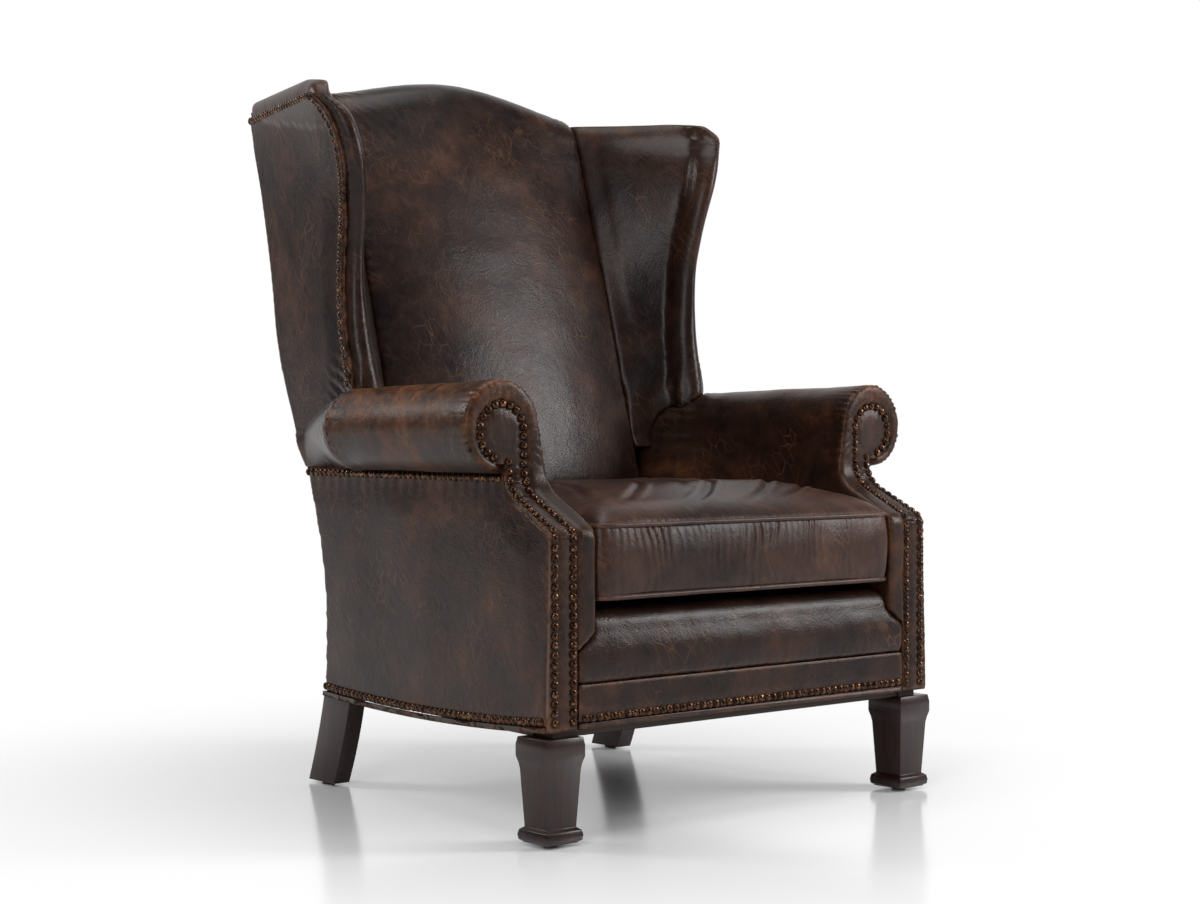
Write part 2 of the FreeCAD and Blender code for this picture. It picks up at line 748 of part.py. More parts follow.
def make_frame():
    skin = panel_thickness + seat_gap
    post_low = rear_leg_centre_x - rear_leg_half_width - rail_thickness
    post_high = post_low + post_width
    stump = box((stump_inner_x, -60.0, rail_bottom_z),
                (stump_inner_x + post_width, 300.0, stump_top_z))
    stump = stump.common(front_band(stump_front, stump_front + post_width))
    both_sides("arm_stump", stump.cut(under_side_panel()))
    rail_back = front_rail_y + rail_thickness
    inner = skin + frame_clearance
    nodes["front_rail"] = box((-stump_inner_x + seat_gap, front_rail_y, rail_bottom_z),
                              (stump_inner_x - seat_gap, rail_back, rail_top_z))
    front = front_face_y + stump_front + post_width + seat_gap
    end = side_rail_end_y
    near_x = side_x(front, base_z) - inner
    far_x = side_x(end, base_z) - inner
    wire = closed(at_z(rail_bottom_z), (near_x, front), (far_x, end),
                  (far_x - rail_thickness, end), (near_x - rail_thickness, front))
    both_sides("side_rail", prism(wire, Vec(0, 0, rail_top_z - rail_bottom_z)))
    steps = 16
    levels = [blend(rail_bottom_z, post_top_z, k / steps) for k in range(steps + 1)]
    back_line = [(rear_y(z) - post_back_gap, z) for z in levels]
    front_line = [(y - post_depth, z) for y, z in reversed(back_line)]
    line = back_line + front_line
    post = prism(closed(at_x(post_low), line[0], *line[1:]), Vec(post_width, 0, 0))
    both_sides("back_post", post)
    span = post_low - seat_gap
    rear_front = rear_y(200.0) - post_back_gap - rail_thickness - 8.0
    nodes["rear_rail"] = box((-span, rear_front, rail_bottom_z),
                             (span, rear_front + rail_thickness, rail_top_z))
    nodes["lower_back_rail"] = box((-span, lower_rail_y, lower_rail_z),
                                   (span, lower_rail_y + rail_thickness, 332.0 - seat_gap))
    crest_low = crest_rail_low_z
    side_top = crest_end_z - crest_rail_cover
    arch = crest_middle_z - crest_rail_cover
    wire = closed(at_y(crest_rail_y), (-span, crest_low), (span, crest_low), (span, side_top),
                  ((0.0, arch), (-span, side_top)))
    nodes["crest_rail"] = prism(wire, Vec(0, rail_thickness, 0))
    arm_front = scroll_face_y + stump_front + post_width + seat_gap
    ends = []
    wide, tall = arm_rail_size
    for y, low_x, low_z in ((arm_front, arm_rail_front[0], arm_rail_front[1]),
                            (arm_rail_rear_y, post_high + seat_gap, arm_rail_rear_z)):
        ends.append(closed(at_y(y), (low_x, low_z), (low_x + wide, low_z),
                           (low_x + wide, low_z + tall), (low_x, low_z + tall)))
    both_sides("arm_rail", loft(ends, True))
    levels = []
    wide, deep = stile_size
    for z, low_x, low_y in (stile_low, stile_middle, stile_high, stile_top):
        levels.append(closed(at_z(z), (low_x, low_y), (low_x + wide, low_y),
                             (low_x + wide, low_y + deep), (low_x, low_y + deep)))
    both_sides("wing_stile", loft(levels, True))
    ends = []
    low_z = stile_top[0] + seat_gap
    for y, low_x in (wing_rail_front, wing_rail_rear):
        high_x = low_x + wing_rail_width
        ends.append(closed(at_y(y), (low_x, low_z), (high_x, low_z),
                           (high_x, wing_rail_top_z), (low_x, wing_rail_top_z)))
    joint = post.copy()
    joint.translate(Vec(0, -seat_gap, 0))
    both_sides("wing_rail", loft(ends, True).cut(joint))
    blocks = []
    for x, y, turn in ((stump_inner_x, rail_back, 1.0), (span, rear_front, -1.0)):
        for side in (-1.0, 1.0):
            reach = (x - 1.0) * side
            wire = closed(at_z(rail_bottom_z), (reach, y + turn * seat_gap),
                          (reach - side * block_leg, y + turn * seat_gap),
                          (reach, y + turn * (block_leg + seat_gap)))
            blocks.append(prism(wire, Vec(0, 0, block_height)))
    nodes["corner_blocks"] = Part.makeCompound(blocks)


# Springs, webbing and seat deck

def make_seat_support():
    inner = front_rail_y + rail_thickness
    rear = nodes["rear_rail"].BoundBox.YMin
    springs = []
    clips = []
    for k in range(spring_count):
        x = (k - (spring_count - 1) / 2.0) * spring_pitch
        springs.append(sinuous(x, inner - 10.0, rear + 10.0))
        for y in (inner - 16.0, rear + 4.0):
            clip = box((x - clip_half, y, rail_top_z),
                       (x + clip_half, y + clip_depth, rail_top_z + clip_height))
            reach = wire_half + seat_gap / 2.0
            slot = box((x - reach, y - 20.0, spring_z - reach),
                       (x + reach, y + 40.0, spring_z + reach))
            clips.append(clip.cut(slot))
    nodes["seat_springs"] = Part.makeCompound(springs)
    nodes["spring_clips"] = Part.makeCompound(clips)
    strips = []
    behind = back_foam_depth + seat_gap
    reach = nodes["back_post_left"].BoundBox.XMin - seat_gap
    for k in range(webbing_count):
        low = webbing_low_z + k * webbing_pitch
        strips.append(leaning_slab(behind, behind + webbing_thickness, low, low + webbing_width, reach))
    nodes["back_webbing"] = Part.makeCompound(strips)
    front = border_deck_y + seat_gap
    front_x = inner_x(front) - deck_edge
    back_x = inner_x(deck_back_y) - deck_edge
    deck_low = cushion_bottom_z - deck_thickness - seat_gap
    layers = (("deck_padding", pad_bottom_z, deck_low - seat_gap),
              ("seat_deck", deck_low, cushion_bottom_z - seat_gap))
    for name, low, high in layers:
        wire = closed(at_z(low), (-front_x, front), (front_x, front),
                      (back_x, deck_back_y), (-back_x, deck_back_y))
        nodes[name] = prism(wire, Vec(0, 0, high - low))


def sinuous(x, front, rear):
    """One flat zigzag spring wire from the front clip to the rear clip."""
    lead = 20.0
    turns = int((rear - front - 2.0 * lead) / (2.0 * spring_turn))
    start = front + (rear - front - turns * 2.0 * spring_turn) / 2.0
    flat = at_z(spring_z)
    edges = []

    def straight(a, b):
        edges.append(Part.LineSegment(flat(*a), flat(*b)).toShape())

    corner = spring_corner
    bend = corner * (1.0 - math.sqrt(0.5))
    side = 1.0
    straight((x, front), (x, start - corner))
    edges.append(Part.Arc(flat(x, start - corner), flat(x + bend, start - bend),
                          flat(x + corner, start)).toShape())
    here = x + corner
    for k in range(turns):
        y = start + k * 2.0 * spring_turn
        out = x + side * spring_half
        straight((here, y), (out, y))
        edges.append(Part.Arc(flat(out, y), flat(out + side * spring_turn, y + spring_turn),
                              flat(out, y + 2.0 * spring_turn)).toShape())
        here = out
        side = -side
    y = start + turns * 2.0 * spring_turn
    last = x - side * corner
    straight((here, y), (last, y))
    edges.append(Part.Arc(flat(last, y), flat(x - side * bend, y + bend),
                          flat(x, y + corner)).toShape())
    straight((x, y + corner), (x, rear))
    path = Part.Wire(edges)
    half = wire_half
    ring = closed(at_y(front), (x - half, spring_z - half), (x + half, spring_z - half),
                  (x + half, spring_z + half), (x - half, spring_z + half))
    return path.makePipeShell([ring], True, False)


# Arm padding

def make_arm_padding():
    rest = arm_body(leather + 2.0 * seat_gap, inner_low_z)
    front = facing_thickness + 2.0 * seat_gap + leather
    padding = rest.common(behind_front(front)).common(before_rear(-panel_thickness - seat_gap, 600.0))
    padding = padding.cut(strip_end())
    fold = panel_thickness + leather + 4.0
    foot = side_layer(-40.0, fold, arm_line_z + leather + 2.0)
    foot = foot.common(box((200.0, roll_end_y, arm_line_z - 2.0), (500.0, 900.0, 600.0)))
    padding = padding.cut(foot)
    timber = ("arm_stump_left", "arm_rail_left", "back_post_left", "wing_stile_left",
              "lower_back_rail")
    for name in timber:
        padding = padding.cut(nodes[name])
    both_sides("arm_padding", padding)


# Front border, base trim and dust cover

def make_border():
    face = front_face_y
    wire = closed(at_x(-border_half), (face + 1.0, border_seam_z + 1.0),
                  ((face - 2.0, border_seam_z + 38.0), (face + 5.0, border_seam_z + 72.0)),
                  ((face + 14.0, border_top_z - 7.0), (face + 40.0, border_top_z)),
                  (border_deck_y, border_top_z), (border_deck_y, rail_top_z + clip_height + 2.0),
                  (front_rail_y - seat_gap, rail_top_z + clip_height + 2.0),
                  (front_rail_y - seat_gap, border_seam_z + 1.0))
    roll = prism(wire, Vec(2.0 * border_half, 0, 0))
    low = border_seam_z - 20.0
    half = inner_x(0.0) - 1.0
    step_z = inner_low_z - 1.0
    rise = (border_half - half) / (facing_inner_half - inner_front_half)
    step_high = step_z + strip_slant * rise
    outline = closed(at_y(-50.0), (-border_half, low), (border_half, low), (border_half, step_z),
                     (half, step_high), (half, 400.0), (-half, 400.0), (-half, step_high),
                     (-border_half, step_z))
    taper = closed(at_z(step_high), (-half, 0.0), (half, 0.0),
                   (inner_x(border_deck_y) - 1.0, border_deck_y + 1.0),
                   (1.0 - inner_x(border_deck_y), border_deck_y + 1.0))
    over = box((-400.0, -50.0, step_high), (400.0, 300.0, 400.0))
    over = over.cut(prism(taper, Vec(0, 0, 200))).cut(box((-half, -50.0, 0.0), (half, 0.0, 400.0)))
    nodes["front_border"] = roll.common(prism(outline, Vec(0, 300, 0))).cut(over)
    nodes["front_rail_band"] = box((-border_half, face, base_z + trim_height + 0.5),
                                   (border_half, front_rail_y - seat_gap, border_seam_z))
    strips = [box((-border_half, face - trim_stand, base_z),
                  (border_half, face + trim_thickness, base_z + trim_height))]
    ends = []
    for y in (-20.0, side_depth + 60.0):
        high_x = side_x(y, 200.0) + trim_stand
        low_x = side_x(y, 120.0) + trim_stand
        ends.append(closed(at_y(y), (low_x, 120.0), (high_x, 200.0),
                           (high_x - trim_thickness, 200.0), (low_x - trim_thickness, 120.0)))
    side = loft(ends, True).common(above_base(0.0).cut(above_base(trim_height - 0.5)))
    behind = behind_front(facing_thickness + seat_gap)
    side = side.common(behind).common(before_rear(trim_stand, 600.0))
    strips.append(side)
    strips.append(mirrored(side))
    reach = side_x(rear_low_y, rear_base_z) - trim_thickness
    band = before_rear(trim_stand, 600.0).cut(before_rear(-panel_thickness, 600.0))
    strips.append(band.common(box((-reach, 500, rear_base_z),
                                  (reach, 800, rear_base_z + trim_height - 0.5))))
    nodes["base_trim"] = Part.makeCompound(strips)
    front_in = foot_width + 6.0
    rear_in = rear_y(rail_bottom_z) - rear_leg_depth - 16.0
    x_front = leg_centre_x - foot_width / 2.0 - 4.0
    x_rear = rear_leg_centre_x - rear_leg_half_width - 6.0
    side_front = side_x(front_in, base_z) - dust_cover_edge
    side_rear = side_x(rear_in, base_z) - dust_cover_edge
    near = front_rail_y + 4.0
    far = rear_in + dust_notch
    outline = closed(at_z(rail_bottom_z - seat_gap - dust_cover_thickness),
                     (-x_front, near), (x_front, near), (x_front, front_in),
                     (side_front, front_in), (side_rear, rear_in), (x_rear, rear_in),
                     (x_rear, far), (-x_rear, far), (-x_rear, rear_in),
                     (-side_rear, rear_in), (-side_front, front_in), (-x_front, front_in))
    nodes["dust_cover"] = prism(outline, Vec(0, 0, dust_cover_thickness))


# Legs

def leg_outline(place):
    """Profile of one face of a front leg, drawn about its own middle."""
    foot = foot_width / 2.0
    waist = leg_waist_width / 2.0
    upper = leg_upper_width / 2.0
    cuff = leg_cuff_width / 2.0
    top = leg_top_width / 2.0
    mid_foot = (glide_height + foot_top_z) / 2.0
    half = [
        (foot - 5.0, glide_height),
        ((foot - 1.0, glide_height + 3.5), (foot, mid_foot)),
        ((foot - 1.5, foot_top_z - 3.5), (foot - 6.5, foot_top_z)),
        (waist, foot_top_z),
        (upper, leg_upper_z),
        ((upper + 1.4, leg_upper_z + 8.0), (cuff, leg_cuff_low_z)),
        (cuff, leg_cuff_high_z),
        (top, rail_bottom_z - seat_gap),
    ]
    left = []
    previous = half[-1]
    for step in reversed(half[:-1]):
        end = step[1] if isinstance(step[0], tuple) else step
        if isinstance(previous[0], tuple):
            left.append(((-previous[0][0], previous[0][1]), (-end[0], end[1])))
        else:
            left.append((-end[0], end[1]))
        previous = step
    return closed(place, half[0], *(half[1:] + [(-top, rail_bottom_z - seat_gap)] + left))


def make_legs():
    across = prism(leg_outline(lambda a, z: Vec(-100.0, a, z)), Vec(200, 0, 0))
    ahead = prism(leg_outline(lambda a, z: Vec(a, -100.0, z)), Vec(0, 200, 0))
    leg = across.common(ahead)
    leg.translate(Vec(leg_centre_x, foot_width / 2.0, 0))
    hole = bolt_radius + bolt_clearance
    bolt_x = leg_centre_x - bolt_lean[0]
    bolt_y = foot_width / 2.0 + bolt_lean[1]
    hole_low = rail_bottom_z - front_bolt_depth - bolt_clearance
    bolt_hole = Part.makeCylinder(hole, 45.0, Vec(bolt_x, bolt_y, hole_low))
    both_sides("front_leg", leg.cut(bolt_hole))
    top = rear_y(rail_bottom_z) + rear_leg_overhang
    low = glide_height
    high = rail_bottom_z - seat_gap
    middle = (low + high) / 2.0
    bow = rear_leg_bow
    wire = closed(at_x(rear_leg_centre_x - rear_leg_half_width),
                  (top - rear_leg_depth, high),
                  ((top - rear_leg_depth + rear_leg_rake / 2.0 - bow, middle),
                   (top - rear_leg_depth + rear_leg_rake, low)),
                  (top + rear_leg_rake - 2.0, low),
                  ((top + rear_leg_rake / 2.0 - bow, middle), (top, high)))
    rear_leg = prism(wire, Vec(2.0 * rear_leg_half_width, 0, 0))
    hole_low = rail_bottom_z - rear_bolt_depth - bolt_clearance
    rear_bolt_y = top - rear_leg_depth / 2.0
    rear_bolt = Part.makeCylinder(hole, 45.0, Vec(rear_leg_centre_x, rear_bolt_y, hole_low))
    rebate = box((0.0, rear_y(rail_bottom_z) - panel_thickness - seat_gap, rear_base_z - seat_gap),
                 (500.0, 900.0, 200.0))
    both_sides("rear_leg", rear_leg.cut(rear_bolt).cut(rebate))
    glides = []
    bolts = []
    spots = ((leg_centre_x, foot_width / 2.0, bolt_x, bolt_y, front_bolt_depth),
             (rear_leg_centre_x, rear_bolt_y + rear_leg_rake, rear_leg_centre_x, rear_bolt_y,
              rear_bolt_depth))
    for glide_x, glide_y, thread_x, thread_y, deep in spots:
        for side in (1.0, -1.0):
            foot = Vec(side * glide_x, glide_y, 0)
            glides.append(Part.makeCylinder(glide_radius, glide_height, foot))
            end = Vec(side * thread_x, thread_y, rail_bottom_z - deep)
            bolts.append(Part.makeCylinder(bolt_radius, deep, end))
    nodes["floor_glides"] = Part.makeCompound(glides)
    nodes["leg_bolts"] = Part.makeCompound(bolts)


# Seat cushion

def cushion_section(z, inset):
    """Plan outline of the cushion: straight-sided with drawn-in edges and small corners."""
    front = cushion_front_half - inset
    rear = cushion_rear_half - inset
    near = inset
    far = cushion_back_y - inset
    corner = max(14.0 - inset * 0.1, 5.0)
    pull = cushion_side_pull
    side_mid_x = (front + rear) / 2.0 - pull * 0.6
    middle_y = (near + far) / 2.0
    cut = corner * 0.3
    return closed(
        at_z(z), (-front + corner, near),
        ((0.0, near + pull * 0.5), (front - corner, near)),
        ((front - cut, near + cut), (front - 0.5, near + corner)),
        ((side_mid_x, middle_y), (rear + 0.5, far - corner)),
        ((rear - cut, far - cut), (rear - corner, far)),
        ((0.0, far - pull * 0.4), (-rear + corner, far)),
        ((-rear + cut, far - cut), (-rear - 0.5, far - corner)),
        ((-side_mid_x, middle_y), (-front + 0.5, near + corner)),
        ((-front + cut, near + cut), (-front + corner, near)))


def cushion_body(shrink):
    low = cushion_bottom_z + shrink
    top = cushion_side_top_z
    rise = cushion_crown - shrink
    wall = [(low, 0.0), (blend(low, top, 0.5), -1.5), (top, 0.0)]
    crown = [(top, 0.0), (top + rise * 0.3, 12.0), (top + rise * 0.66, 42.0),
             (top + rise * 0.9, 92.0), (top + rise, 165.0)]
    parts = []
    for stack in (wall, crown):
        parts.append(loft([cushion_section(z, pull + shrink) for z, pull in stack], False))
    return parts[0].fuse(parts[1]).removeSplitter()


def make_cushion():
    nodes["cushion_cover"] = cushion_body(0.0).cut(cushion_body(leather))
    nodes["cushion_core"] = cushion_body(leather + seat_gap)
    clear = cushion_body(-seat_gap)
    welts = []
    for z in (cushion_side_top_z, cushion_bottom_z + welt_radius):
        levels = ((-1.0, 0.4), (-0.5, 0.9), (0.5, 0.9), (1.0, 0.4))
        rings = [cushion_section(z + rise * welt_radius, -reach * 1.5 * welt_radius)
                 for rise, reach in levels]
        welts.append(loft(rings, True).cut(clear))
    nodes["cushion_welts"] = Part.makeCompound(welts)


# Nails

def nail_shape():
    """One dome nail at the origin, head up, with a small flat on its crown."""
    base = nail_head_radius
    shank = nail_shank_radius
    lift = seat_gap / 3.0
    top = lift + nail_head_height
    wire = closed(at_y(0.0), (0.0, -nail_shank_length), (shank, -nail_shank_length), (shank, lift),
                  (base, lift), (base * 0.85, lift + nail_head_height * 0.5),
                  (base * 0.5, lift + nail_head_height * 0.88), (nail_crown_radius, top), (0.0, top))
    return Part.Face(wire).revolve(Vec(0, 0, 0), Vec(0, 0, 1), 360)


def nail(point, outward):
    """A copy of the nail seated at point, its head standing outwards."""
    shape = nail_master.copy()
    shape.Placement = FreeCAD.Placement(point, FreeCAD.Rotation(Vec(0, 0, 1), outward))
    return shape


def nail_row(edges, across, outward):
    """Nails along joined edges; each stands square to the edge and to the across direction."""
    line = Part.Wire(edges)
    count = max(int(round(line.Length / nail_pitch)), 1)
    points = line.discretize(Number=count + 1)
    nails = []
    for k in range(len(points)):
        ahead = points[min(k + 1, count)]
        behind = points[max(k - 1, 0)]
        along = ahead.sub(behind).normalize()
        up = along.cross(across).normalize()
        if up.dot(outward) < 0.0:
            up = up.multiply(-1.0)
        nails.append(nail(points[k], up))
    return nails


def front_nails(rows, x, lean):
    """Nails up the arm front at x, leaning inwards above the shoulder."""
    nails = nail_row(step_edges(at_x(x), rows[0], rows[1:]), Vec(1, 0, 0), Vec(0, -1, 0))
    for one in nails:
        share = (one.Placement.Base.z - shoulder_z) / (arm_line_z - shoulder_z)
        one.translate(Vec(-lean * min(max(share, 0.0), 1.0), 0, 0))
    return nails


def step_edges(place, start, steps):
    edges = []
    here = start
    for step in steps:
        arc = isinstance(step[0], tuple)
        end = step[1] if arc else step
        if arc:
            edges.append(Part.Arc(place(*here), place(*step[0]), place(*end)).toShape())
        else:
            edges.append(Part.LineSegment(place(*here), place(*end)).toShape())
        here = end
    return edges


def make_nails():
    head_x, head_z, roll = roll_at(scroll_face_y)
    head_z -= scroll_head_drop
    inner_line = facing_inner_half + nail_edge_inset
    outer_line = facing_inner_half + facing_outer_nail
    low = base_z + 12.0
    front = []
    reach = math.sqrt(scroll_nail_radius ** 2 - (head_x - inner_line) ** 2)
    rows = front_profile(0.0, head_z - reach, low)
    front += front_nails(rows, inner_line, 0.0)
    neck_top = head_z - scroll_nail_radius - 4.0
    rows = front_profile(0.0, neck_top, low)
    front += front_nails(rows, outer_line, neck_nail_lean)
    centre = (head_x, head_z)
    begin = math.degrees(math.atan2(-reach, inner_line - head_x)) % 360.0
    finish = -68.0
    angles = [begin - nail_pitch / scroll_nail_radius * 57.3, (begin + finish) / 2.0, finish]
    spots = [arc_point(centre, scroll_nail_radius, a) for a in angles]
    place = at_y(scroll_face_y)
    ring = [Part.Arc(place(*spots[0]), place(*spots[1]), place(*spots[2])).toShape()]
    line = Part.Wire(ring)
    count = int(round(line.Length / nail_pitch))
    front += [nail(point, Vec(0, -1, 0)) for point in line.discretize(Number=count + 1)]
    both_sides("arm_front_nails", Part.makeCompound(front))

    inset = nail_head_radius + 1.0
    low_nail_z = 634.0
    count = 12
    knots = []
    for k in range(count + 1):
        z, x, y, roll = wing_station(blend(low_nail_z, wing_nail_top_z - inset, k / count))
        knots.append(Vec(x, y + inset, z))
    curve = Part.BSplineCurve()
    curve.interpolate(knots)
    edge = curve.toShape()
    wing = nail_row([edge], Vec(wing_rear_half - 380.0, 300.0, 0), Vec(1, 0, 0))
    top_z = wing_nail_top_z
    rear = Vec(wing_rear_half, rear_y(top_z) - inset, top_z - inset)
    first = Vec(*knots[-1])
    run = rear.sub(first).normalize()
    start = first.add(run.multiply(nail_pitch))
    wing += nail_row([Part.LineSegment(start, rear).toShape()], Vec(0, 0, 1), Vec(1, 0, 0))
    both_sides("wing_nails", Part.makeCompound(wing))

    row_z = arm_line_z - inset
    start = Vec(side_x(126.0, row_z), 126.0, row_z)
    end = Vec(side_x(rear_arm_y - inset, row_z), rear_arm_y - inset - 3.0, row_z)
    lean = Vec(side_x(300.0, 500.0) - side_x(300.0, 200.0), 0, 300.0)
    both_sides("arm_line_nails", Part.makeCompound(
        nail_row([Part.LineSegment(start, end).toShape()], lean, Vec(1, 0, 0))))

    base = []
    begin, middle, end = sag_line(nail_row_rise)
    for sign in (1.0, -1.0):
        def side_spot(y, z, sign=sign):
            return Vec(sign * side_x(y, z), y, z)
        line = Part.Arc(side_spot(20.0, blend(begin[1], middle[1], 0.1)), side_spot(*middle),
                        side_spot(rear_low_y - 14.0, end[1])).toShape()
        lean = Vec(sign * (side_x(300.0, 500.0) - side_x(300.0, 200.0)), 0, 300.0)
        base += nail_row([line], lean, Vec(sign, 0, 0))
    row = base_z + nail_row_rise
    half = border_half - 10.0
    front_line = Part.LineSegment(Vec(-half, front_face_y, row), Vec(half, front_face_y, row))
    base += nail_row([front_line.toShape()], Vec(0, 0, 1), Vec(0, -1, 0))
    nodes["base_nails"] = Part.makeCompound(base)

    rear_row = rear_base_z + nail_row_rise
    half = side_x(rear_low_y, rear_row) - 18.0
    spot_y = rear_y(rear_row)
    rear_line = Part.LineSegment(Vec(-half, spot_y, rear_row), Vec(half, spot_y, rear_row))
    back = nail_row([rear_line.toShape()], Vec(0, 0.12, 1), Vec(0, 1, 0))
    nodes["back_nails"] = Part.makeCompound(back)


nail_master = nail_shape()
make_frame()
make_arms()
make_outside_arm()
make_wings()
make_back()
make_seat_support()
make_arm_padding()
make_border()
make_legs()
make_cushion()
make_nails()

# The chair is centred on its own box, with the floor at zero

whole = Part.makeCompound(list(nodes.values())).optimalBoundingBox(False, False)
centre = Vec(-(whole.XMin + whole.XMax) / 2.0, -(whole.YMin + whole.YMax) / 2.0, -whole.ZMin)
for name, shape in nodes.items():
    shape.translate(centre)
    shape.exportStep("parts/" + name + ".step")
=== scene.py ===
import math

import bmesh
import bpy
import numpy as np
from mathutils import Euler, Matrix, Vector, noise
from mathutils.kdtree import KDTree


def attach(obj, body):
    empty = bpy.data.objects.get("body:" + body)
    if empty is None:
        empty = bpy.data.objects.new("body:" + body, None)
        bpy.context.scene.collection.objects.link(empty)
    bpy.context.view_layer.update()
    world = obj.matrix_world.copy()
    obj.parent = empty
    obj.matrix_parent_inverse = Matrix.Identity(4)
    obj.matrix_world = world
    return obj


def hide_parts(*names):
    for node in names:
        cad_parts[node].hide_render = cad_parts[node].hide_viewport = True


# Wingback armchair in distressed brown leather with antique dome nails.
# Metres; the front of the chair faces -Y, its right-hand side seen from the front is +X.

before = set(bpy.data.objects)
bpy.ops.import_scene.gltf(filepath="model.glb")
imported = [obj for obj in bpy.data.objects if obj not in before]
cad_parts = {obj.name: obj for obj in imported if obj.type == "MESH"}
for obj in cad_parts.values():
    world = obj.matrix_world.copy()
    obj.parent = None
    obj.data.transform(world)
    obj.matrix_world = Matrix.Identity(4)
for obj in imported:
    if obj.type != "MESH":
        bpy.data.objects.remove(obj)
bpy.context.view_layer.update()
scene = bpy.context.scene
scene.view_settings.view_transform = "Standard"

# The drawing counts setbacks from the chair's front, which lies this far before the frame's middle
SETBACK = 0.41444

# Above this angle in degrees between faces, an edge of a leather piece or nail stays sharp
SOFT_EDGE = 50.0


# Camera at the photograph's angle

def place_camera():
    bpy.ops.object.camera_add(location=(-2.2287, -2.65574, 0.5728),
                              rotation=(math.radians(90.0 - 0.77), 0.0, math.radians(-40.82)))
    camera = bpy.context.object
    camera.name = "photo_camera"
    camera.data.sensor_width = 36.0
    camera.data.lens = 65.33
    scene.camera = camera


# Small modelling helpers

def clear_selection():
    bpy.ops.object.select_all(action="DESELECT")


def pick(piece):
    clear_selection()
    piece.select_set(True)
    bpy.context.view_layer.objects.active = piece


def finish_modifier(piece, kind, **settings):
    """Adds one modifier with its settings and applies it."""
    pick(piece)
    modifier = piece.modifiers.new(kind.lower(), kind)
    for name, value in settings.items():
        setattr(modifier, name, value)
    bpy.ops.object.modifier_apply(modifier=modifier.name)


def copied(name, nodes):
    """One merged mesh made from copies of CAD nodes."""
    clear_selection()
    for node in nodes:
        one = bpy.data.objects.new(name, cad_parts[node].data.copy())
        scene.collection.objects.link(one)
        one.select_set(True)
        bpy.context.view_layer.objects.active = one
    if len(nodes) > 1:
        bpy.ops.object.join()
    piece = bpy.context.view_layer.objects.active
    piece.name = name
    piece.data.name = name
    piece.data.materials.clear()
    bpy.ops.object.mode_set(mode="EDIT")
    bpy.ops.mesh.select_all(action="SELECT")
    bpy.ops.mesh.remove_doubles(threshold=0.00002)
    bpy.ops.object.mode_set(mode="OBJECT")
    return piece


def points_of(piece):
    flat = np.empty(len(piece.data.vertices) * 3)
    piece.data.vertices.foreach_get("co", flat)
    return flat.reshape(-1, 3)


def normals_of(piece):
    flat = np.empty(len(piece.data.vertices) * 3)
    piece.data.vertices.foreach_get("normal", flat)
    return flat.reshape(-1, 3)


def move_points(piece, spots):
    piece.data.vertices.foreach_set("co", spots.ravel())
    piece.data.update()


def edges_of(piece):
    flat = np.empty(len(piece.data.edges) * 2, dtype=int)
    piece.data.edges.foreach_get("vertices", flat)
    return flat.reshape(-1, 2)


def spread(values, edges, rounds):
    """Averages values over neighbouring points."""
    count = np.zeros(len(values))
    np.add.at(count, edges[:, 0], 1.0)
    np.add.at(count, edges[:, 1], 1.0)
    count = np.maximum(count, 1.0)
    if values.ndim == 2:
        count = count[:, None]
    for _ in range(rounds):
        total = np.zeros_like(values)
        np.add.at(total, edges[:, 0], values[edges[:, 1]])
        np.add.at(total, edges[:, 1], values[edges[:, 0]])
        values = 0.5 * values + 0.5 * total / count
    return values


def soft_step(values, low, high):
    share = np.clip((values - low) / (high - low), 0.0, 1.0)
    return share * share * (3.0 - 2.0 * share)


def ripple(along, length, phase=0.0):
    """Waves from -1 to 1 along a coordinate; length is from crest to crest."""
    return np.sin(along * 2.0 * np.pi / length + phase)


def fading(gap, reach):
    """1 where a gap is 0 or less, dying away over the given reach."""
    return np.exp(-np.clip(gap, 0.0, 1.0) / reach)


def cloud(spots, size, seed):
    """Smooth noise from -1 to 1 at each point; size is its feature in metres."""
    shift = Vector((seed * 7.31, seed * 3.17, seed * 5.73))
    return np.array([noise.noise(Vector(spot) / size + shift) for spot in spots])


def mark(piece, name, values):
    attribute = piece.data.attributes.new(name, "FLOAT", "POINT")
    attribute.data.foreach_set("value", values.astype(np.float32))


def settle(piece, body, material, replaced):
    """Gives a finished piece its body and material, and hides the CAD nodes that it stands for."""
    piece.data.materials.clear()
    piece.data.materials.append(material)
    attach(piece, body)
    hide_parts(*replaced)


def smooth(piece, degrees):
    pick(piece)
    bpy.ops.object.shade_smooth_by_angle(angle=math.radians(degrees))


def mirrored_copy(piece, name):
    twin = bpy.data.objects.new(name, piece.data.copy())
    twin.data.name = name
    scene.collection.objects.link(twin)
    spots = points_of(twin)
    spots[:, 0] *= -1.0
    move_points(twin, spots)
    twin.data.flip_normals()
    return twin


# Nails: where each one sits and which way it stands

# Shank tip to seat, head radius and height; wing nails stand prouder, clear of the roll beside them
NAIL_SHANK = 0.011
NAIL_TIP_SPAN = 0.0022
NAIL_RADIUS = 0.006
NAIL_HEIGHT = 0.0036
WING_NAIL_LIFT = 0.0022


